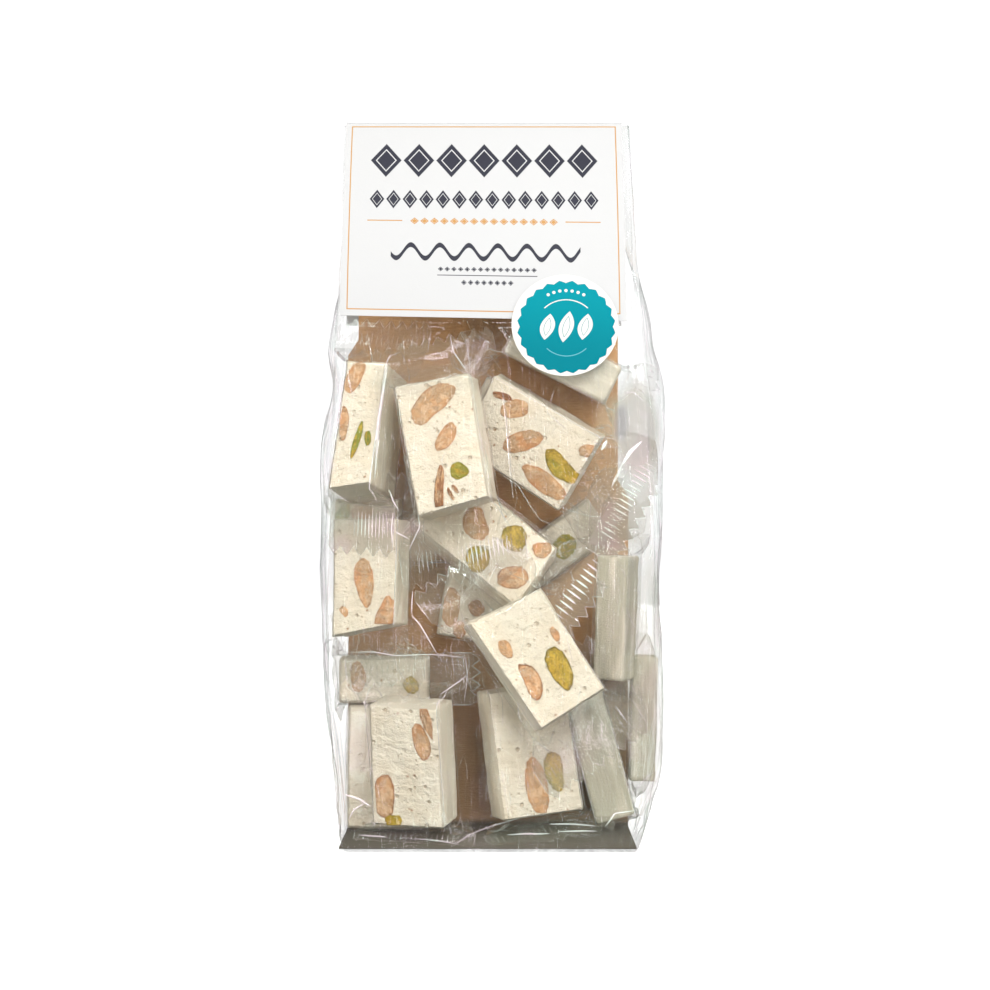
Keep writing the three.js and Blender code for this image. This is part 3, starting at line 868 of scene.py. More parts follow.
# %% Folds of the bag
# corners across and up in mm, half width, height, and the strength of the glint painted white on
# each fold that shows
FOLDS = [
    ([(-29.5, 105.0), (-28.4, 101.8), (-26.6, 98.7)], 0.24, 0.25, 1.0),
    ([(-21.0, 98.3), (-20.6, 94.2), (-23.7, 87.5)], 0.18, 0.2, 0.9),
    ([(-28.4, 98.3), (-28.8, 94.0), (-28.6, 89.4)], 0.22, 0.25, 1.0),
    ([(-28.0, 93.0), (-23.7, 90.7)], 0.2, 0.25, 1.0),
    ([(-22.6, 75.7), (-23.0, 69.0)], 0.22, 0.25, 0.9),
    ([(-23.0, 68.7), (-20.6, 66.1), (-15.6, 57.6)], 0.24, 0.25, 1.0),
    ([(34.1, 119.5), (32.4, 116.6)], 0.55, 0.3, 1.0),
    ([(44.4, 119.3), (41.4, 116.6), (38.4, 112.3)], 0.6, 0.3, 1.0),
    ([(4.8, 5.5), (11.0, 5.9), (17.0, 5.8)], 0.3, 0.25, 1.0),
    ([(17.0, 8.6), (24.0, 8.5), (30.3, 7.9)], 0.35, 0.25, 0.8),
    ([(19.6, 6.3), (30.6, 6.4)], 0.22, 0.25, 1.0),
    ([(33.1, 7.9), (35.8, 11.6), (41.8, 12.3)], 0.28, 0.25, 1.0),
    ([(-42.2, 16.8), (-38.0, 15.6), (-34.8, 13.5)], 0.4, 0.3, 1.0),
    ([(-41.0, 9.6), (-39.5, 12.5), (-36.0, 14.6)], 0.25, 0.25, 0.9),
    ([(36.2, 42.3), (39.0, 38.4)], 0.2, 0.25, 0.8),
    ([(-38.0, 5.2), (-30.0, 4.6)], 0.25, 0.2, 0.8),
    ([(-22.0, 4.2), (-14.0, 3.4), (-9.0, 2.6)], 0.22, 0.2, 0.7),
    ([(-11.0, 2.0), (-6.0, 5.4), (2.0, 8.4), (8.0, 10.2)], 0.2, 0.25, 0.6),
    ([(44.0, 2.0), (47.5, 13.0), (50.0, 22.0)], 0.3, 0.3, 0.5),
    ([(41.0, 17.0), (45.0, 21.5), (50.0, 22.0)], 0.25, 0.3, 0.5),
    ([(-45.0, 2.0), (-44.6, 12.0), (-46.0, 24.0)], 0.25, 0.25, 0.4),
    ([(43.0, 150.0), (46.0, 140.0), (48.5, 127.0)], 0.3, 0.3, 0.35),
    ([(46.0, 118.0), (47.0, 100.0), (46.6, 84.0)], 0.25, 0.25, 0.35),
    ([(-46.5, 142.0), (-44.0, 132.0), (-46.0, 118.0)], 0.25, 0.3, 0.35),
    ([(-12.0, 151.0), (-11.0, 146.0), (-6.4, 138.5)], 0.2, 0.2, 0.8),
    ([(-7.5, 150.0), (-6.2, 143.0), (-6.0, 137.0)], 0.14, 0.2, 0.6),
    ([(3.2, 136.5), (4.6, 126.0), (5.6, 114.0), (6.6, 102.5)], 0.5, 0.1, 0.3),
    ([(-30.3, 142.0), (-32.7, 125.3), (-33.8, 107.9)], 0.6, 0.3, 0.7),
    ([(2.2, 109.9), (7.9, 106.4), (11.4, 100.6), (14.3, 96.3), (22.3, 93.4)], 0.14, 0.15, 0.55),
    ([(-40.6, 57.8), (-34.0, 58.0), (-27.6, 56.9), (-17.5, 57.3), (-5.9, 56.4)], 0.2, 0.2, 0.75),
    ([(-5.9, 56.4), (-6.9, 50.0), (-7.5, 44.2)], 0.14, 0.2, 0.5),
    ([(-14.6, 45.7), (-7.1, 50.9)], 0.2, 0.25, 0.9),
    ([(38.4, 112.3), (36.6, 108.6), (35.2, 105.6)], 0.35, 0.25, 0.7),
    ([(38.5, 133.5), (42.0, 133.8), (45.0, 131.0)], 0.2, 0.2, 0.6),
]
SMALL_FOLDS = 150


def bag_folds():
    """Tents for the folds that are listed, and for many small ones strewn over the bag."""
    normals = outward(film_points)
    heights = film_points[:, 0, 2]
    tents = []

    def lay(steps, rings, half_width, height, white):
        line = sampled(film_points, rings, steps)
        tents.append(tent(line, sampled(normals, rings, steps), half_width, height, white))

    for corners, half_width, height, white in FOLDS:
        share = np.linspace(0, len(corners) - 1, 6 * len(corners))
        x = np.interp(share, range(len(corners)), [corner[0] for corner in corners])
        z = np.interp(share, range(len(corners)), [corner[1] for corner in corners])
        half = form_at(z)[2]
        steps = (x / half + 1) / 2 * FRONT_STEPS
        lay(steps, np.interp(z, heights, np.arange(RINGS)), half_width, height, white)
    for _ in range(SMALL_FOLDS):
        z = random.uniform(6, 152)
        step = random.uniform(-GUSSET_STEPS, FRONT_STEPS + GUSSET_STEPS)
        on_front = 0 < step < FRONT_STEPS
        length = random.uniform(4, 15) * (0.7 if on_front else 1.3)
        slant = random.gauss(0, 0.35)
        t = np.linspace(-0.5, 0.5, 9)
        bow = random.uniform(-3, 3) * (0.25 - t * t)
        heights_of_line = np.clip(z + t * length * math.cos(slant), 2, 153)
        steps = step + (t * length * math.sin(slant) + bow) / 0.5
        rings = np.interp(heights_of_line, heights, np.arange(RINGS))
        # the painted glint of a small fold
        white = random.uniform(0.1, 0.5) * (1.0 if on_front else 0.6)
        lay(steps, rings, random.uniform(0.07, 0.17), random.uniform(0.08, 0.2), white)
    return make_piece("bag_folds", joined(tents), BAG_FILM, "clear_film")


bag_folds()

# %% [markdown]
# ## The board
#
# The board is one strip, scored and folded to an L: its upright part lines the back panel and its
# foot lies on the base. A flat box is cut across near its back edge, the narrow part behind the
# cut is drawn up into the upright part, and that part bows a little to the front. Low down it is
# wider, with a step on each side.

# %% Kraft board
BOARD_LEFT, BOARD_RIGHT = -40.9, 39.3
BOARD_TOP_Z = 200.0
BOARD_BACK_Y = 18.3
BOARD_THICKNESS = 0.5
BOARD_BOW = 0.5
BOARD_TOP_FORWARD = 0.4
BOARD_FRONT_Y = 16.9
FOOT_DEPTH = 35.5
FOOT_Z = 0.8
FOOT_WIDER = 3.2
SHOULDER_LEFT_Z, SHOULDER_RIGHT_Z = 147, 105


def kraft_board():
    mesh = bmesh.new()
    bmesh.ops.create_cube(mesh, size=1)
    width = BOARD_RIGHT - BOARD_LEFT
    bmesh.ops.scale(mesh, vec=(width, FOOT_DEPTH, BOARD_THICKNESS), verts=mesh.verts)
    middle = ((BOARD_LEFT + BOARD_RIGHT) / 2, BOARD_BACK_Y - FOOT_DEPTH / 2, FOOT_Z)
    bmesh.ops.translate(mesh, vec=middle, verts=mesh.verts)
    fold_y = BOARD_BACK_Y - BOARD_THICKNESS
    bmesh.ops.bisect_plane(
        mesh, geom=mesh.verts[:] + mesh.edges[:] + mesh.faces[:],
        plane_co=(0, fold_y, 0), plane_no=(0, 1, 0),
    )
    strip = [f for f in mesh.faces if f.normal.z > 0.9 and f.calc_center_median().y > fold_y]
    grown = bmesh.ops.extrude_face_region(mesh, geom=strip)["geom"]
    top = [v for v in grown if isinstance(v, bmesh.types.BMVert)]
    bmesh.ops.delete(mesh, geom=strip, context="FACES_ONLY")
    bmesh.ops.translate(mesh, vec=(0, -BOARD_TOP_FORWARD, BOARD_TOP_Z - 1), verts=top)
    uprights = [e for e in mesh.edges if abs(e.verts[0].co.z - e.verts[1].co.z) > 50]
    bmesh.ops.subdivide_edges(mesh, edges=uprights, cuts=40, use_grid_fill=True)
    for vertex in mesh.verts:
        right = vertex.co.x > 0
        if vertex.co.z < (SHOULDER_RIGHT_Z if right else SHOULDER_LEFT_Z):
            vertex.co.x += FOOT_WIDER if right else -FOOT_WIDER
        bow = math.sin(math.pi * vertex.co.z / BOARD_TOP_Z)
        vertex.co.y -= BOARD_BOW * bow if vertex.co.y > 17 else 0
    bmesh.ops.recalc_face_normals(mesh, faces=mesh.faces)
    return make_piece("kraft_board", mesh, BOARD, "kraft_board")


kraft_board()

# %% [markdown]
# ## Where the pieces lie
#
# Each piece has its middle, its width, thickness and height in millimetres, and its roll, yaw and
# pitch. The sawn face looks forward, unless the piece is "fibrous" and shows a pulled side. "lean"
# moves the sawn face's corners in its own plane, because a guillotine never cuts quite square: top
# left, top right, lower right, lower left. A painted shade greys the nougat of a piece that lies
# deep in the bag, and "milky" clouds its wrapper.

# %% Pieces
PIECES = {
    "upper": dict(at=(-12.8, -11.2, 117.9), size=(22.5, 12.5, 38), turn=(-10.5, -12, -5),
                  lean=((-0.5, 0.5), (0, 0), (0, 1), (0.5, -1))),
    "upper_right": dict(at=(12.2, 1.6, 120.0), size=(23.5, 12, 36), turn=(-60, -11, 7),
                        lean=((0, 0), (0.7, 0.7), (0.3, -0.7), (-2, -0.2))),
    "centre": dict(at=(-1.8, 3.4, 90.0), size=(22.5, 12, 38), turn=(-51.5, 0, -17),
                   lean=((0, 0.5), (0, 0), (-1, -0.7), (-0.5, -2.5))),
    "middle": dict(at=(13.1, -13.0, 54.0), size=(23.5, 10, 35), turn=(-33, 10, -11),
                   lean=((1, 3.5), (1.5, 0), (0.3, 0), (1, 0.9)), dull=0.2),
    "lower_left": dict(at=(-22.9, -7.9, 25.1), size=(22, 13, 36), turn=(-2, -18, 7),
                       lean=((0.8, 0.4), (0.5, -1), (-0.5, -1), (-1, 0)), dull=0.15),
    "lower": dict(at=(12.1, 1.0, 26.7), size=(23.5, 12.5, 38.5), turn=(-8, 17, -4),
                  lean=((-0.8, 0.8), (0, 0), (0, -0.5), (-2, 1)), dull=0.15),
    "upper_left": dict(at=(-36.3, -0.6, 122.4), size=(12.5, 22, 38), turn=(4.0, -15, -12),
                       lean=((0, 0), (0, 0), (0.5, 1.2), (-0.3, -1.6)), dull=0.08),
    "left": dict(at=(-36.0, -6.4, 78.7), size=(20.5, 12.5, 35.5), turn=(1, -16, -4),
                 lean=((0.4, -0.4), (0, 0), (0.5, 4.5), (1.5, 0)), dull=0.15),
    "right_high": dict(at=(37.8, 2.6, 66.6), size=(9.8, 11, 37.5), turn=(2.5, -24, 0),
                       fibrous=True, milky=0.26, dull=0.82),
    "right_mid": dict(at=(46.6, 11.2, 35.4), size=(7.8, 11.4, 38), turn=(1.5, 0, 0),
                      fibrous=True, milky=0.28, dull=0.82),
    "right_low": dict(at=(32.6, 8.5, 25.2), size=(12, 17, 39.5), turn=(-15, 0, 2),
                      fibrous=True, milky=0.26, dull=0.82),
    "under_seal": dict(at=(22.0, 6.3, 144.0), size=(34, 18, 12), turn=(27, -3, 0), fibrous=True,
                       dull=0.3),
    "inner": dict(at=(-3.7, 11.8, 69.7), size=(22.5, 9.6, 21.5), turn=(10, 2, 0)),
    "back_low": dict(at=(-32.4, 11.3, 47.2), size=(27.5, 9.5, 14), turn=(0, 0, 0), milky=0.14),
    "back_foot": dict(at=(-31.5, 10.8, 20.8), size=(24, 10.5, 37.5), turn=(1, 0, 0), milky=0.08),
    "back_left": dict(at=(-37.4, 12.2, 85.3), size=(20, 9.5, 34), turn=(0, 0, 0)),
    "back_right": dict(at=(21.9, 13.7, 88.5), size=(29, 6, 14), turn=(-35, 0, 0), dull=0.4,
                       milky=0.2),
    "back_middle": dict(at=(9.5, 13.9, 122.0), size=(22, 5, 36), turn=(-62, 0, 0)),
}
FORE = ["upper", "upper_right", "centre", "middle", "lower_left", "lower", "upper_left", "left"]
REAR = [name for name in PIECES if name not in FORE]
for spec in PIECES.values():
    spec["matrix"] = Matrix.Translation(spec["at"]) @ turned(*spec["turn"]).to_4x4()
    spec.setdefault("lean", ((0, 0),) * 4)
    spec.setdefault("fibrous", False)
    spec.setdefault("milky", 0.0)
    spec.setdefault("dull", 0.0)

# %% [markdown]
# ## Nougat blocks
#
# A block starts as a cube whose edges are cut into a fine grid. Its edges are eased, its corners
# leant, and every point moves along its own face: a slow swell everywhere, shallow torn pits on
# sawn faces and fine furrows on pulled sides. The front only sinks in, so a nut set in it stays
# flush. Each block reads the noise at a place of its own, so no two are alike.


# %% Block from a finely cut cube
def cut_cube(size, spacing):
    """A box with a grid of points about as far apart as the spacing."""
    mesh = bmesh.new()
    bmesh.ops.create_cube(mesh, size=1)
    for axis in range(3):
        along = [
            e for e in mesh.edges if abs(e.verts[0].co[axis] - e.verts[1].co[axis]) > 0.5
        ]
        cuts = max(2, round(size[axis] / spacing) - 1)
        bmesh.ops.subdivide_edges(mesh, edges=along, cuts=cuts, use_grid_fill=True)
    bmesh.ops.scale(mesh, vec=size, verts=mesh.verts)
    return mesh


def leant(point, size, lean):
    """The point moved with the corners of its face, by how near it is to each."""
    u, v = point.x / size[0] + 0.5, point.z / size[2] + 0.5
    shares = ((1 - u) * v, u * v, u * (1 - v), (1 - u) * (1 - v))
    dx = sum(share * corner[0] for share, corner in zip(shares, lean))
    dz = sum(share * corner[1] for share, corner in zip(shares, lean))
    return Vector((point.x + dx, point.y, point.z + dz))


EASED_EDGE = 0.7


def nougat_block(spec, spacing, offset):
    """One block in its place, which reads the noise at its own offset."""
    size, edge = Vector(spec["size"]), EASED_EDGE
    mesh = cut_cube(size, spacing)
    grain_layer = mesh.verts.layers.float_vector.new("grain")
    fibre_layer = mesh.verts.layers.float.new("fibre")
    painted_shade_layer = mesh.verts.layers.float.new("dull")
    inner = size / 2 - Vector((edge, edge, edge))
    lies = size.x > size.z
    for vertex in mesh.verts:
        point = vertex.co
        core = Vector(max(-k, min(k, p)) for p, k in zip(point, inner))
        normal = (point - core).normalized()
        spot = point + offset
        swell = noise.noise(spot / 9) * 0.35 + noise.noise(spot / 3.5) * 0.12
        sawn = 0.0 if spec["fibrous"] else abs(normal.y) ** 4
        pit = max(0.0, noise.noise(spot / 1.5) - 0.38) * 1.2
        pit *= max(0.0, min(1.0, noise.noise(spot / 12 + Vector((3, 5, 7))) * 3 + 0.5))
        run = Vector((spot.z, spot.y, spot.x)) if lies else spot
        furrow = noise.noise((run.x * 0.9, run.y * 0.9, run.z * 0.05)) * 0.12
        sunk = sawn * (min(0.0, swell - 0.12) - pit) + (1 - sawn) * (swell * 0.9 + furrow - 0.1)
        ragged = noise.noise(spot / 1.3) * 0.25 * (1 - max(abs(c) for c in normal)) * 3
        moved = core + normal * (edge + sunk + ragged)
        vertex.co = leant(moved, size, spec["lean"])
        vertex[grain_layer] = run
        vertex[fibre_layer] = 1 - sawn
        # painted shade for a piece that lies deep in the bag
        vertex[painted_shade_layer] = spec["dull"]
    bmesh.ops.transform(mesh, matrix=spec["matrix"], verts=mesh.verts)
    return mesh


# %% Blocks in front, cut more finely, and the rest
FORE_SPACING, REAR_SPACING = 0.62, 1.0
NOISE_APART = 41.0


def blocks(names, spacing):
    order = list(PIECES)
    return joined(
        nougat_block(PIECES[name], spacing, Vector((order.index(name) * NOISE_APART, 13.0, 0.0)))
        for name in names
    )


make_piece("nougat_fore", blocks(FORE, FORE_SPACING), NOUGAT, "nougat")
make_piece("nougat_rear", blocks(REAR, REAR_SPACING), NOUGAT, "nougat")

# %% [markdown]
# ## Nuts in the cut faces
#
# A cut nut is half a nut: a flat cut that shows and a round part inside the nougat. A UV sphere
# with its pole on the cut has rings that already run parallel to the skin, so its front half is
# pressed flat and its outline is shaped by the angle. The cut swells a hair beyond the nougat, so
# its middle is never lost in the block, and where it crosses the edge of the piece it is cut off
# and closed.

# %% Nuts seen from the front
# piece, kind, middle across and up on the sawn face, length, width, turn, how pointed it is, and
# where it shows any, how much splintered skin lies on the cut and how much skin rings it
NUTS = [
    ("upper_left", "almond", -3.0, 13.4, 10.4, 4.8, -18, 0.1),
    ("upper_left", "almond", -4.3, -0.6, 11.0, 2.8, 4, 0.3, 0, 0.7),
    ("upper_left", "pistachio", 0.4, -5.1, 11.0, 2.1, -10, 0.1, 0.9),
    ("upper_left", "pistachio", 3.7, -4.3, 4.6, 2.0, 8, 0.1, 1.0),
    ("upper", "almond", -1.2, 12.4, 15.6, 7.4, -60, 0.1),
    ("upper", "almond", 1.4, 1.7, 9.2, 5.0, -42, 0.35),
    ("upper", "pistachio", 3.8, -8.8, 5.8, 4.9, 81, 0.8, 0.7),
    ("upper", "almond", -2.9, -13.2, 14.2, 2.7, -12, -0.6, 0.8),
    ("upper", "almond", 0.1, -14.9, 3.8, 1.1, 18, 0.3, 0.8),
    ("upper", "almond", 1.7, -13.8, 3.1, 1.2, 28, 0.3, 0.8),
    ("upper_right", "almond", 6.6, 8.2, 8.6, 5.6, 40, 0.1),
    ("upper_right", "almond", 8.2, 13.2, 6.0, 2.2, 10, 0.1, 1.0),
    ("upper_right", "almond", -0.5, 1.4, 12.1, 6.0, 46, 0.3),
    ("upper_right", "pistachio", -1.5, -12.4, 13.6, 5.8, -15, 0.0),
    ("upper_right", "almond", -8.2, -10.2, 15.2, 5.9, -9, 0.1),
    ("upper_right", "almond", 6.6, -16.8, 5.1, 3.8, 30, 0.2),
    ("centre", "almond", 0.9, 4.2, 11.0, 7.2, -33, 0.2),
    ("centre", "pistachio", -7.2, -3.1, 8.6, 7.4, -51, 0.1),
    ("centre", "pistachio", 4.5, -7.7, 8.0, 7.7, -52, 0.05),
    ("centre", "almond", -5.2, -14.9, 9.6, 7.0, 42, 0.15, 0, 0.7),
    ("centre", "almond", 7.0, -16.4, 5.8, 4.9, 48, 0.2, 0, 0.5),
    ("left", "almond", 0.8, -1.2, 14.8, 5.7, 8, 0.4),
    ("left", "almond", 7.6, -10.6, 11.2, 6.0, -20, 0.4),
    ("left", "almond", -5.2, -10.0, 3.3, 2.1, 38, 0.2),
    ("middle", "almond", -5.8, 8.5, 5.7, 3.8, -5, 0.2),
    ("middle", "almond", 8.8, 4.0, 4.3, 2.2, -6, 0.3),
    ("middle", "almond", -4.9, -3.3, 11.5, 4.9, -8, 0.3, 0, 1),
    ("middle", "pistachio", 4.1, -5.1, 12.8, 6.6, -9, 0.25, 0, 0.8),
    ("lower_left", "almond", 5.5, 7.2, 11.0, 4.8, 11, 0.2, 0, 0.7),
    ("lower_left", "almond", 7.6, 13.4, 10.5, 3.2, 13, 0.9, 0.4),
    ("lower_left", "almond", -7.4, -9.3, 13.0, 6.7, -6, 0.1, 0, 1),
    ("lower_left", "pistachio", -5.1, -16.7, 5.1, 4.4, 91, 0.1),
    ("lower", "almond", -1.7, -10.4, 17.6, 7.0, 1, 0.2),
    ("lower", "pistachio", 4.4, -6.6, 13.2, 6.0, -1, 0.15),
    ("inner", "almond", -8.3, -1.7, 11.3, 5.2, 4, 0.1),
    ("inner", "almond", -0.7, -0.6, 5.0, 4.6, 60, 0.2, 0.6),
    ("inner", "almond", -4.7, -8.0, 5.0, 4.0, 20, 0.2),
    ("back_left", "pistachio", -7.9, 11.4, 9.5, 3.8, -17, 0.1, 1.0),
    ("back_left", "almond", -1.7, 13.0, 5.6, 7.0, 20, 0.1),
    ("back_right", "pistachio", 0.0, -1.0, 6.5, 8.0, 10, 0.1, 0.6),
    ("back_low", "almond", -7.9, 1.0, 9.5, 4.5, 4, 0.1),
    ("back_low", "pistachio", 8.2, -1.5, 5.5, 4.5, 20, 0.1),
]


# %% Cutting a nut off where its piece ends
def cut_at_edges(mesh, spec):
    """Cuts a nut off where the piece ends, and closes the cut."""
    half_w, half_h = spec["size"][0] / 2 - 0.05, spec["size"][2] / 2 - 0.05
    lean = spec["lean"]
    edges = (
        ((1, 0, 0), half_w + min(lean[1][0], lean[2][0])),
        ((-1, 0, 0), half_w - max(lean[0][0], lean[3][0])),
        ((0, 0, 1), half_h + min(lean[0][1], lean[1][1])),
        ((0, 0, -1), half_h - max(lean[2][1], lean[3][1])),
    )
    for normal, edge in edges:
        way = Vector(normal)
        if max(vertex.co.dot(way) for vertex in mesh.verts) < edge:
            continue
        made = bmesh.ops.bisect_plane(
            mesh, geom=mesh.verts[:] + mesh.edges[:] + mesh.faces[:],
            plane_co=way * edge, plane_no=way, clear_outer=True,
        )
        rim_edges = [e for e in made["geom_cut"] if isinstance(e, bmesh.types.BMEdge)]
        bmesh.ops.edgeloop_fill(mesh, edges=rim_edges)


# %% One cut nut
# how far the middle of a cut stands out in mm, and the power below 1 that fills its outline out
PROUD = 0.12
BLUNT = 0.87


def nut(spec, across, up, length, width, turn, point, bark=0.0, ring=0.0, backward=False):
    """One cut nut in the front (or back) face of a piece."""
    mesh = bmesh.new()
    rim_layer = mesh.verts.layers.float.new("rim")
    cut_layer = mesh.verts.layers.float_vector.new("cut")
    bark_layer = mesh.verts.layers.float.new("bark")
    ring_layer = mesh.verts.layers.float.new("ring")
    bmesh.ops.create_uvsphere(mesh, u_segments=36, v_segments=18, radius=1)
    angle = math.radians(turn)
    own = Vector((across * 1.7, up * 1.3, length))
    for vertex in mesh.verts:
        is_cut = vertex.co.z > -1e-4
        out = min(1.0, math.hypot(vertex.co.x, vertex.co.y))
        radius = out**0.8 if is_cut else out
        theta = math.atan2(vertex.co.x, vertex.co.y)
        ahead, aside = math.cos(theta), math.sin(theta)
        shape = 1 - point * 0.45 * max(0, -ahead) * abs(aside)
        shape *= 1 + 0.16 * noise.noise(own + Vector((ahead, aside, 0)) * 1.1)
        shape *= 1 + 0.07 * noise.noise(own + Vector((ahead, aside, 2)) * 3.1)
        shape *= 1 + 0.07 * noise.noise(own + Vector((ahead, aside, 4)) * 8)
        ahead, aside = (math.copysign(abs(c) ** BLUNT, c) for c in (ahead, aside))
        side = aside * radius * shape * width / 2
        top = ahead * radius * (1 + 0.08 * noise.noise(own * 2)) * shape * length / 2
        bend = 0.05 * width * noise.noise(own * 3) * ((top * 2 / length) ** 2 - 0.4) * 4
        rough = noise.noise(Vector((side, top, up)) * 0.9) * 0.16 * (1 - radius**2)
        depth = PROUD * (1 - radius**6) + rough if is_cut else vertex.co.z * width * 0.3
        x = across + (side + bend) * math.cos(angle) - top * math.sin(angle)
        z = up + (side + bend) * math.sin(angle) + top * math.cos(angle)
        vertex.co = (x, -depth, z)
        vertex[rim_layer] = radius if is_cut else 1.0
        vertex[bark_layer] = bark
        vertex[ring_layer] = ring
        vertex[cut_layer] = (side, top, across * 7 + up * 3)
    cut_at_edges(mesh, spec)
    bmesh.ops.recalc_face_normals(mesh, faces=mesh.faces)
    half_thick = spec["size"][1] / 2
    if backward:
        bmesh.ops.rotate(mesh, matrix=Matrix.Rotation(math.pi, 3, "Z"), verts=mesh.verts)
    bmesh.ops.translate(
        mesh, vec=(0, half_thick if backward else -half_thick, 0), verts=mesh.verts
    )
    bmesh.ops.transform(mesh, matrix=spec["matrix"], verts=mesh.verts)
    return mesh


# %% All nuts, with some in the faces that look backwards
def nuts_of(kind):
    """The listed nuts of a kind, and a few more in the back of every block."""
    made = [nut(PIECES[p], *values) for p, k, *values in NUTS if k == kind]
    for name, spec in PIECES.items():
        width, _, height = spec["size"]
        for _ in range(3 if kind == "almond" else 1):
            across = random.uniform(-0.34, 0.34) * width
            up = random.uniform(-0.4, 0.4) * height
            length = random.uniform(6, 13)
            wide = length * random.uniform(0.4, 0.55)
            made.append(
                nut(spec, across, up, length, wide, random.uniform(-80, 80), 0.3, backward=True)
            )
    return joined(made)


make_piece("almonds", nuts_of("almond"), ALMOND, "almond")
make_piece("pistachios", nuts_of("pistachio"), PISTACHIO, "pistachio")

# %% [markdown]
# ## Wrappers
#
# A flow-wrap is a tube of film round the piece, pressed flat beyond both ends and crimped into a
# ribbed fin with a zigzag cut. Film keeps its length round the piece, so each point keeps its
# place along the rim while the tube flattens. The fin is one sheet of two welded layers.

# %% How a wrapper lies on its piece
ROUND_STEPS = 96
RIB_PITCH = 1.65
EASE = 0.45
SLACK = 1.2
END_GAP = 0.4


def rim_points(half_width, half_depth, count):
    """Points evenly along a rectangle's rim, from its front's middle to the right and round."""
    length = 4 * (half_width + half_depth)
    q = (np.arange(count) + 0.5) / count * length
    sides = [0, half_width, 2 * half_depth, 2 * half_width, 2 * half_depth, half_width]
    walked = np.cumsum(sides)
    x = np.interp(q, walked, [0, half_width, half_width, -half_width, -half_width, 0])
    y = np.interp(q, walked, [
        -half_depth, -half_depth, half_depth, half_depth, -half_depth, -half_depth
    ])
    return x, y


def reach(spec):
    """Half of the piece's long side, and the gap beyond it."""
    return max(spec["size"][0], spec["size"][2]) / 2 + END_GAP


def stood_up(spec):
    """The piece's matrix with its long side along the wrapper, and its half width and depth."""
    width, depth, height = spec["size"]
    if width > height:
        turn = Matrix.Rotation(math.pi / 2, 4, "Y")
        return spec["matrix"] @ turn, height / 2 + EASE, depth / 2 + EASE
    return spec["matrix"], width / 2 + EASE, depth / 2 + EASE


def end_of(spec, end):
    """How the wrapper goes on at one end, and where its fin starts."""
    given = dict(
        taper=6.5, fin=8.5, lean=0, hang=None, shift=0.0, width=None, haze=0.12, rib_glint=0.5,
        pitch=RIB_PITCH, edge=0.7, bright=None,
    )
    given.update(spec.get(end, {}))
    sign = 1 if end == "top" else -1
    lean = math.radians(given["lean"])
    hang = lean if given["hang"] is None else math.radians(given["hang"])
    across = given["shift"] / given["taper"]
    given["away"] = Vector((across, -math.sin(lean), sign * math.cos(lean)))
    given["out"] = Vector((0, -math.sin(hang), sign * math.cos(hang)))
    given["foot"] = Vector((0, 0, sign * reach(spec)))
    given["start"] = given["foot"] + given["away"] * given["taper"]
    _, half_w, half_d = stood_up(spec)
    given["flat"] = (given["width"] or (half_w + half_d) * 2 + SLACK) / 2
    return given


# %% Folds of a wrapper
WRAPPER_FOLDS = 14


def is_corner(rim, step):
    """Whether the rim turns most sharply at this step, compared with its neighbours."""
    def turn(at):
        before, here, after = (rim[(at + k) % len(rim), :2] for k in (-3, 0, 3))
        spans = np.linalg.norm(here - before) * np.linalg.norm(after - here)
        return -np.dot(here - before, after - here) / spans

    return turn(step) > -0.9 and all(turn(step) >= turn(step + k) for k in range(-9, 10))


def wrapper_folds(points, normals, shine):
    """Tents down the four long edges and across the gathered ends."""
    rings = len(points)
    tents = []

    def lay(steps, rows, half_width, height, white):
        line = sampled(points, rows, steps)
        tents.append(tent(line, sampled(normals, rows, steps), half_width, height, white))

    corners = [step for step in range(ROUND_STEPS) if is_corner(points[rings // 2], step)]
    for corner in corners:
        start = random.uniform(6, 13)
        rows = np.linspace(start, rings - random.uniform(6, 13), 15)
        # painted glints down the long edges, raised by shine
        white = max(shine, random.uniform(0.25, 0.8))
        lay(rows * 0 + corner, rows, 0.1 + 0.15 * shine, 0.12, white)
        for low, high in ((0.5, 13), (rings - 14, rings - 1.5)):
            rows = np.linspace(low, high, 9)
            drift = np.linspace(random.uniform(-5, 5), 0, 9)
            drift = drift if low < 1 else drift[::-1]
            lay(drift + corner, rows, 0.13, 0.18, random.uniform(0.3, 0.9))
    for _ in range(WRAPPER_FOLDS):
        low, high = random.choice(((0.5, 12.5), (rings - 13.5, rings - 1.5)))
        middle, span = random.uniform(low, high), random.uniform(2, 6)
        rows = np.clip(np.linspace(middle - span, middle + span, 8), low, high)
        step = random.uniform(0, ROUND_STEPS)
        steps = step + np.linspace(0, random.gauss(0, 4), 8)
        lay(steps, rows, random.uniform(0.07, 0.16), 0.15, random.uniform(0.15, 0.7))
    return tents


# %% Wrapper tube
BODY_RINGS = 19
END_RINGS = 12


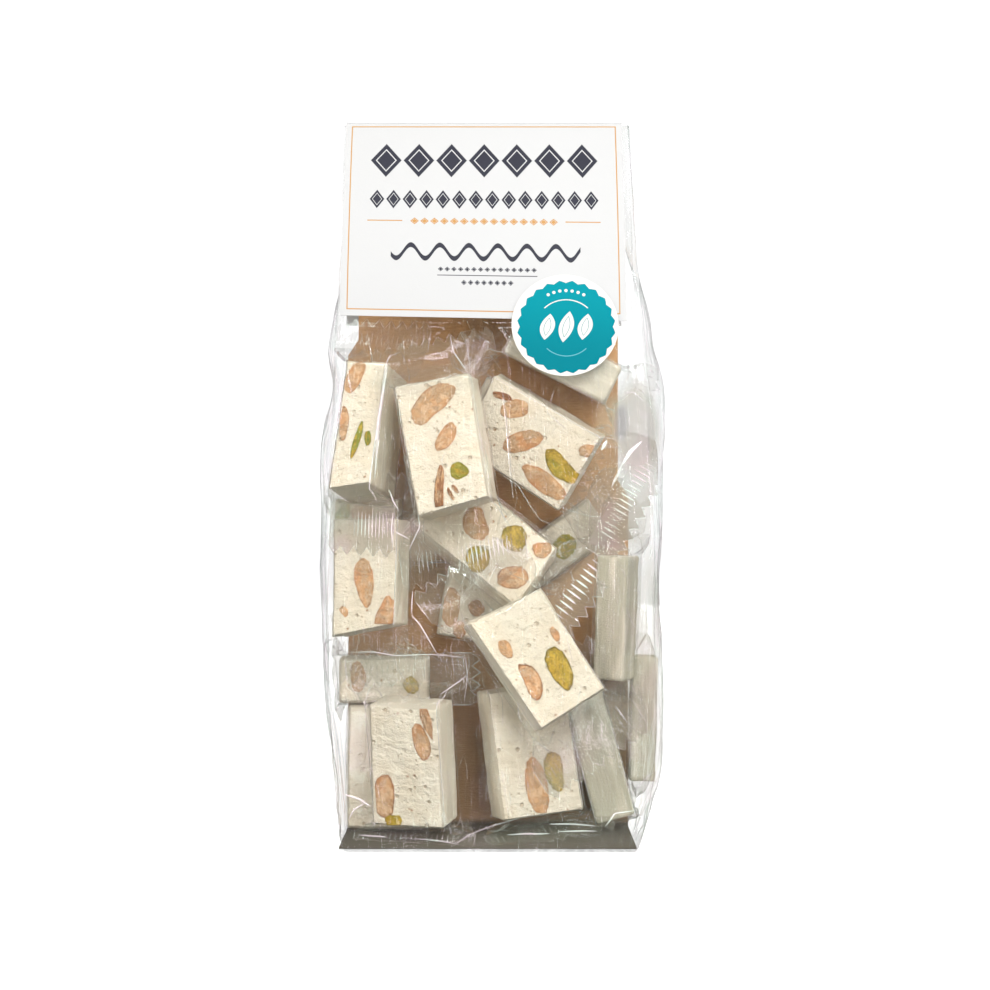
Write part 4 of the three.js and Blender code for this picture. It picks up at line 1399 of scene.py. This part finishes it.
def wrapper_tube(spec, offset):
    """The tube of film round a piece, gathered at both ends, and the tents of its folds."""
    matrix, half_w, half_d = stood_up(spec)

    def gathered(end):
        height = end_of(spec, end)["foot"].z
        return [(height, t, end) for t in np.linspace(0, 1, END_RINGS + 1)[1:]]

    heights = np.linspace(-reach(spec), reach(spec), BODY_RINGS)
    body = [(height, 0.0, "top") for height in heights]
    stations = gathered("foot")[::-1] + body + gathered("top")
    mesh, steps = tube(ROUND_STEPS, len(stations), closed=False)
    points = np.zeros((len(stations), ROUND_STEPS, 3))
    for ring, (height, t, end) in enumerate(stations):
        given = end_of(spec, end)
        width_now = half_w + (given["flat"] - half_w) * t**0.8
        x, y = rim_points(width_now, half_d * (1 - t) ** 0.9 + 0.08, ROUND_STEPS)
        middle = Vector((0, 0, height)) + given["away"] * given["taper"] * t
        points[ring] = np.stack([x + middle.x, y + middle.y, y * 0 + middle.z], axis=1)
    smoothed = (np.roll(points, 1, 1) + np.roll(points, -1, 1)) * 0.25 + points * 0.5
    normal = outward(smoothed)
    folded = np.array([math.sin(math.pi * t) if t else 0.0 for _, t, _ in stations])
    relief = np.zeros(points.shape[:2])
    for index in np.ndindex(relief.shape):
        spot = Vector(smoothed[index]) + offset
        fold = folded[index[0]]
        pull = abs(noise.noise((spot.x / 3.4, spot.y / 3.4, spot.z / 26)))
        soft = noise.noise(spot / 7)
        crumple = noise.voronoi((spot.x / 5, spot.y / 5, spot.z / 9))[0][0] - 0.45
        lift = (0.35 - pull * 1.6 + soft * 0.8) * (0.12 + 0.8 * fold) + crumple * fold * 1.6
        relief[index] = max(lift, -0.28 - 1.2 * fold)
    smoothed = smoothed + normal * relief[..., None]
    haze_layer = mesh.verts.layers.float.new("haze")
    run_layer = mesh.verts.layers.float_vector.new("run")
    for vertex, (step, ring) in zip(mesh.verts, steps):
        _, t, end = stations[ring]
        vertex.co = smoothed[ring, step]
        vertex[haze_layer] = spec["milky"] / 2 + end_of(spec, end)["haze"] * 0.5 * t**0.5
        from_back = (step + ROUND_STEPS / 2) % ROUND_STEPS
        vertex[run_layer] = (from_back * 0.8 + offset.x, smoothed[ring, step, 2], 0)
    bmesh.ops.recalc_face_normals(mesh, faces=mesh.faces)
    made = [mesh] + wrapper_folds(smoothed, normal, spec.get("shine", 0.0))
    for part in made:
        bmesh.ops.transform(part, matrix=matrix, verts=part.verts)
    return made


# %% Crimped fins
TOOTH_PITCH = 3.9
TOOTH_DEPTH = 2.6


def fin_sheet(spec, end, offset):
    """The sheet of a fin, and the tents of its ribs and of its cut edge, with glints painted on
    them.
    """
    given = end_of(spec, end)
    facing = given["out"].cross(Vector((1, 0, 0)))
    facing = facing if facing.y < 0 else -facing

    def at(u, v, tooth=0.0):
        sway = noise.noise((u / 13 + offset.x, v * 0.8, 2)) * 2.0 * v
        out = given["start"] + given["out"] * (v * given["fin"] + tooth)
        return out + facing * sway + Vector((u, 0, 0))

    teeth = round(2 * given["flat"] / TOOTH_PITCH)
    across_steps = 4 * teeth

    def tooth_at(u):
        return TOOTH_DEPTH * (0.5 - abs(((u / given["flat"] + 1) / 2 * teeth) % 1 - 0.5)) * 2

    sheet = bmesh.new()
    bmesh.ops.create_grid(sheet, x_segments=across_steps, y_segments=10, size=1)
    haze_layer = sheet.verts.layers.float.new("haze")
    run_layer = sheet.verts.layers.float_vector.new("run")
    for vertex in sheet.verts:
        u, v = vertex.co.x * given["flat"], (vertex.co.y + 1) / 2
        vertex.co = at(u, v, tooth_at(u) if v > 0.999 else 0.0)
        vertex[haze_layer] = given["haze"] + spec["milky"] / 2
        vertex[run_layer] = (u, v * given["fin"], 0)
    parts = [sheet]
    normal = np.array(facing)

    def line(places, half_width, white):
        spots = np.array([at(*place) for place in places])
        parts.append(tent(spots, spots * 0 + normal, half_width, half_width * 0.8, white))

    for rib in range(int(2 * given["flat"] / given["pitch"]) - 1):
        u = -given["flat"] + (rib + 1) * given["pitch"]
        # painted glints: how white each rib is painted, strongest where bright says
        glint_of_rib = noise.noise((u / 7 + offset.x, 5, 0)) * 2.4 + 0.6
        if given["bright"]:
            middle, spread = given["bright"]
            glint_of_rib = max(glint_of_rib * 0.35, 1.3 - ((u - middle) / spread) ** 2)
        white = given["rib_glint"] * min(1.0, max(0.05, glint_of_rib))
        low, high = 0.16 + random.uniform(0, 0.06), 0.74 + random.uniform(-0.06, 0.04)
        line([(u, v) for v in np.linspace(low, high, 7)], 0.16 * given["pitch"], white)
    # painted glints along the cut edge and the sides of the fin
    cut = np.linspace(-given["flat"], given["flat"], across_steps + 1)
    line([(u, 1.0, tooth_at(u)) for u in cut], 0.13, given["edge"] * random.uniform(0.4, 1.0))
    for side in (-1, 1):
        line([(side * given["flat"], v) for v in np.linspace(0, 1, 7)], 0.12, given["edge"])
    for part in parts:
        bmesh.ops.transform(part, matrix=stood_up(spec)[0], verts=part.verts)
    return parts


# %% Ends of the wrappers
# taper, fin, shift and width are in mm: how long the tube gathers, how long the fin is, how far it
# goes aside and how wide it lies. lean and hang turn the taper and the fin forwards, in degrees.
# haze says how milky the fin is, and the keys for the ribs and the edge how strong the glints are
# that are painted white on its ribs and its cut edge. pitch is the distance of its ribs, and bright
# the middle and half width of the ribs whose painted glints are strongest. shine paints glints on
# the folds along a wrapper's long edges.
ENDS = {
    "upper": dict(top=dict(taper=5, fin=6.5, lean=-6, rib_glint=0.08, haze=0.16, edge=0.35),
                  foot=dict(taper=8, fin=11, lean=8, rib_glint=1.0, pitch=1.35, bright=(7.5, 8))),
    "upper_right": dict(top=dict(lean=-15, rib_glint=0.05, haze=0.03, edge=0.2),
                        foot=dict(taper=11.5, fin=9, lean=4, shift=-0.8, haze=0.5, rib_glint=2.0,
                                  bright=(5.5, 8))),
    "centre": dict(top=dict(lean=-10),
                   foot=dict(taper=8, fin=9, lean=2, shift=6, pitch=2.0, haze=0.34, rib_glint=1.5,
                             bright=(0, 12))),
    "middle": dict(top=dict(taper=9, fin=9, lean=-14, rib_glint=0.1, haze=0.22),
                   foot=dict(taper=7, fin=8.5, lean=-6, rib_glint=0.12, haze=0.34)),
    "lower_left": dict(top=dict(taper=5, fin=7.5, lean=4, rib_glint=0.04, haze=0.16, edge=1.0),
                       foot=dict(taper=4, fin=4, lean=50)),
    "lower": dict(top=dict(lean=-8), foot=dict(taper=4, fin=7, lean=58, rib_glint=0.4)),
    "upper_left": dict(shine=1.0, top=dict(taper=6, fin=7, lean=0, width=30, rib_glint=0.2),
                       foot=dict(taper=9, fin=12.5, lean=62, hang=-11, shift=4, width=20, rib_glint=1.0,
                                 pitch=1.1, haze=0.45, bright=(2.7, 6))),
    "left": dict(top=dict(lean=-12, fin=5, rib_glint=0.1), foot=dict(taper=5, fin=6, lean=-6, rib_glint=0.2)),
    "right_high": dict(top=dict(width=20), foot=dict(lean=-10, width=20)),
    "right_mid": dict(top=dict(fin=6, width=22), foot=dict(taper=5, fin=3, width=22)),
    "right_low": dict(top=dict(fin=6, lean=-5), foot=dict(taper=3, fin=2, lean=-50)),
    "under_seal": dict(top=dict(taper=6, fin=4, width=22), foot=dict(taper=6, fin=6)),
    "inner": dict(top=dict(fin=5, haze=0.02), foot=dict(fin=5, haze=0.02, rib_glint=0.1)),
    "back_low": dict(top=dict(taper=6, fin=6.5, width=16, haze=0.3, rib_glint=0.25, edge=1.6),
                     foot=dict(taper=3, fin=2, rib_glint=0.1)),
    "back_foot": dict(top=dict(taper=3, fin=2, rib_glint=0.1), foot=dict(taper=2, fin=1, lean=40)),
    "back_left": dict(top=dict(fin=3, rib_glint=0.1), foot=dict(fin=5)),
    "back_right": dict(top=dict(fin=3, rib_glint=0.1), foot=dict(fin=3, rib_glint=0.1)),
    "back_middle": dict(top=dict(taper=3, fin=2, rib_glint=0.1), foot=dict(taper=3, fin=2, rib_glint=0.1)),
}
for name, ends in ENDS.items():
    PIECES[name].update(ends)

# %% Wrappers held in by the bag
BAG_MARGIN = 0.9
FRONT_MARGIN = 0.35
BOARD_MARGIN = 0.2
LOWEST_Z, HIGHEST_Z = 1.4, 214


def held_in(mesh):
    """Keeps a piece between the board, the base and the bag's film, which press on it."""
    x, y, z = np.array([vertex.co for vertex in mesh.verts]).T
    z = np.clip(z, LOWEST_Z, HIGHEST_Z)
    left, right, half, back, front, shoulder = form_at(z)
    lean = top_lean(z)
    t = np.clip((y - front) / (BACK_Y - front), 0, 1)
    straight = half + (back - half) * t
    swell = np.sin(math.pi * t)
    x = np.clip(
        x - lean,
        -(straight + (left - straight) * swell) + BAG_MARGIN,
        straight + (right - straight) * swell - BAG_MARGIN,
    )
    nearest = front_y(x, z, half, front, shoulder) + FRONT_MARGIN
    y = np.clip(y, nearest, BOARD_FRONT_Y - BOARD_MARGIN)
    for vertex, spot in zip(mesh.verts, np.stack([x + lean, y, z], axis=1)):
        vertex.co = spot


# %% Wrappers in front and the rest
FILM_NOISE_APART = 17.0


def wrappers(names):
    """The wrappers of some pieces, with their fins and folds."""
    made = []
    for name in names:
        offset = Vector((list(PIECES).index(name) * FILM_NOISE_APART, 0, 0))
        made += wrapper_tube(PIECES[name], offset)
        for end in ("foot", "top"):
            made += fin_sheet(PIECES[name], end, offset)
    for mesh in made:
        held_in(mesh)
    return joined(made)


make_piece("wrappers_fore", wrappers(FORE), WRAP_FILM, "clear_film")
make_piece("wrappers_rear", wrappers(REAR), WRAP_FILM, "clear_film")

# %% [markdown]
# ## Card and seal
#
# The card is smooth white board with a thin gold frame and plain printed ornaments: a band of
# lozenges, rows of smaller ones, two gold rules and a wavy stroke. Shapes this plain are sums on
# the two coordinates of the card, so they stay sharp at any distance. The seal is a white disc
# with a teal field cut in points.

# %% Printed card
CARD_WHITE = (0.565, 0.585, 0.615)
CARD_GREY = (0.485, 0.505, 0.535)
GOLD = (0.50, 0.27, 0.085)
NAVY = (0.030, 0.032, 0.050)
FRAME_INSET = 2.05
FRAME_LOW, FRAME_HIGH = 158.2, 217.3
HALF_RULE = 0.17


def card_finish():
    mix = Recipe("header_card")
    x, y, z = mix.split(mix.position())
    side = (x - CARD_LEFT_X) / (CARD_RIGHT_X - CARD_LEFT_X) - 0.5
    share = (CARD_TOP_Z - z) / CARD_LEAF_HEIGHT
    up = z + side * share * CARD_FOOT_DROP
    _, facing, _ = mix.split(mix.add("ShaderNodeTexCoord", output="Normal"))
    is_front = mix.rise(y, 17.9, 17.6) * mix.rise(facing, -0.2, -0.5)

    def band(value, low, high, soft=0.06):
        """1 between low and high, with soft edges."""
        return mix.rise(value, low - soft, low + soft) * mix.rise(value, high + soft, high - soft)

    def line(value, at, half):
        """1 within half a line's width of a place."""
        return mix.rise(abs(value - at), half + 0.06, half - 0.06)

    def lozenges(pitch, start, middle, half_height, fill):
        """A row of lozenges, each with a thin line inside, that leave gaps where fill is below 1."""
        across = abs(mix.wrapped(x - start, pitch) - pitch / 2) / (pitch / 2)
        reach_out = across + abs(up - middle) / half_height
        solid = mix.rise(reach_out, fill, fill - 0.06)
        inline = mix.rise(abs(reach_out - fill * 0.62), 0.05, 0.03)
        return solid * (1 - inline)

    up_frame = band(up, FRAME_LOW, FRAME_HIGH + 0.05)
    gold = line(x, CARD_LEFT_X + FRAME_INSET, HALF_RULE) * up_frame
    gold = gold + line(x, CARD_RIGHT_X - FRAME_INSET, HALF_RULE) * up_frame
    across_frame = band(x, CARD_LEFT_X + FRAME_INSET - 0.15, CARD_RIGHT_X - FRAME_INSET + 0.15)
    frame_ends = line(up, FRAME_HIGH, HALF_RULE) + line(up, FRAME_LOW, HALF_RULE)
    gold = gold + frame_ends * across_frame
    rules = band(x, -37.3, -26.7) + band(x, 22.6, 33.2)
    gold = gold + rules * line(up, 186.2, 0.16)
    dots = lozenges(3.0, -24.5, 186.1, 1.25, 0.9) * band(x, -24.5, 20.5)
    navy = lozenges(10.0, -37.0, 205.9, 5.9, 0.97) * band(x, -37.0, 33.0)
    navy = navy + lozenges(5.0, -37.0, 193.1, 3.4, 0.92) * band(x, -37.0, 33.0)
    wave = mix.add("ShaderNodeMath", {"operation": "SINE"}, {0: x * 0.72}) * 2.1 + 176.4
    stroke = mix.rise(abs(up - wave), 0.85, 0.7) * band(x, -30.0, 27.0)
    small = line(up, 169.1, 0.12) * band(x, -16.0, 14.0)
    small = small + lozenges(2.0, -16.0, 171.0, 0.9, 0.85) * band(x, -16.0, 14.0)
    small = small + lozenges(2.0, -9.0, 166.9, 1.0, 0.85) * band(x, -9.0, 7.0)
    mottle = mix.noise(mix.position(), 0.5, 4.0) * 0.08
    colour = mix.blend(mottle, CARD_WHITE, CARD_GREY)
    colour = mix.blend((gold + dots) * is_front, colour, GOLD)
    colour = mix.blend((navy + stroke + small) * is_front, colour, NAVY)
    fibres = mix.noise(mix.position(), 1.6, 4.0)
    shader = mix.surface(
        Base_Color=colour,
        Roughness=0.42 + fibres * 0.1,
        Specular_IOR_Level=0.15,
        Normal=mix.bump(fibres, 0.03),
    )
    return mix.finish(shader)


# %% Card in its finish
def dress(node, material):
    """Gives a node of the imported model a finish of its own."""
    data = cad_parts[node].data
    data.materials.clear()
    data.materials.append(material)


dress("header_card", card_finish())

# %% Printed seal
SEAL_X, SEAL_Z = 22.45, 153.4
SEAL_SLOPE = 0.26
SEAL_WHITE = (0.72, 0.72, 0.72)
TEAL_LOW, TEAL_HIGH = (0.0, 0.19, 0.25), (0.0, 0.26, 0.33)
TEAL_PALE = (0.12, 0.42, 0.52)
FIELD_RADIUS = 14.6
FIELD_POINTS = 24
POINT_DEPTH = 0.85
BEAD_RADIUS = 11.4
BEADS_A_RADIAN = 6.2


def seal_finish():
    mix = Recipe("seal_paper")
    x, _, z = mix.split(mix.position())
    u = x - SEAL_X
    v = (z - SEAL_Z) / math.cos(math.atan(SEAL_SLOPE))
    radius = mix.length(u, v)
    angle = mix.add("ShaderNodeMath", {"operation": "ARCTAN2"}, {0: u, 1: v})
    saw = abs(mix.wrapped(angle * (FIELD_POINTS / math.tau), 1.0) - 0.5) * 2

    def arc(at, half, middle, reach_out, centre_v):
        """A thin arc of radius at, over the middle for 1 or under it for -1."""
        lower_v = v - centre_v
        ring = mix.length(u, lower_v)
        opening = mix.rise(abs(u) / (ring + 0.01), reach_out + 0.01, reach_out - 0.01)
        upper = mix.rise(lower_v * middle, 0.0, 0.5)
        return mix.rise(abs(ring - at), half + 0.07, half - 0.07) * upper * opening

    field = mix.rise(radius + saw * POINT_DEPTH, FIELD_RADIUS + 0.12, FIELD_RADIUS)
    arcs = arc(9.2, 0.16, 1, 0.7, -0.7)
    soft_arc = arc(8.3, 0.13, -1, 0.7, -0.85)

    def almond(at, tall):
        slant = u - at - v * 0.22
        shape = abs(slant) / 2.3 + (v / tall) * (v / tall)
        core = mix.rise(abs(shape - 0.42), 0.05, 0.02)
        return mix.rise(shape, 0.98, 0.9) * (1 - core)

    marks = almond(-5.6, 4.2) + almond(0.0, 5.0) + almond(5.6, 4.2)
    beads = mix.wrapped(angle * BEADS_A_RADIAN + 0.5, 1.0) - 0.5
    distance = mix.length(beads * (BEAD_RADIUS / BEADS_A_RADIAN), radius - BEAD_RADIUS)
    dots = mix.rise(distance, 0.55, 0.42) * mix.rise(abs(angle), 0.58, 0.5)
    teal = mix.blend(mix.rise(v, -12.0, 13.0), TEAL_LOW, TEAL_HIGH)
    colour = mix.blend(field, SEAL_WHITE, teal)
    colour = mix.blend((arcs + marks + dots) * field, colour, SEAL_WHITE)
    colour = mix.blend(soft_arc * field, colour, TEAL_PALE)
    fibres = mix.noise(mix.position(), 1.8, 3.0)
    shader = mix.surface(
        Base_Color=colour,
        Roughness=0.45 + fibres * 0.08,
        Specular_IOR_Level=0.04,
        Normal=mix.bump(fibres, 0.02),
    )
    return mix.finish(shader)


dress("seal", seal_finish())
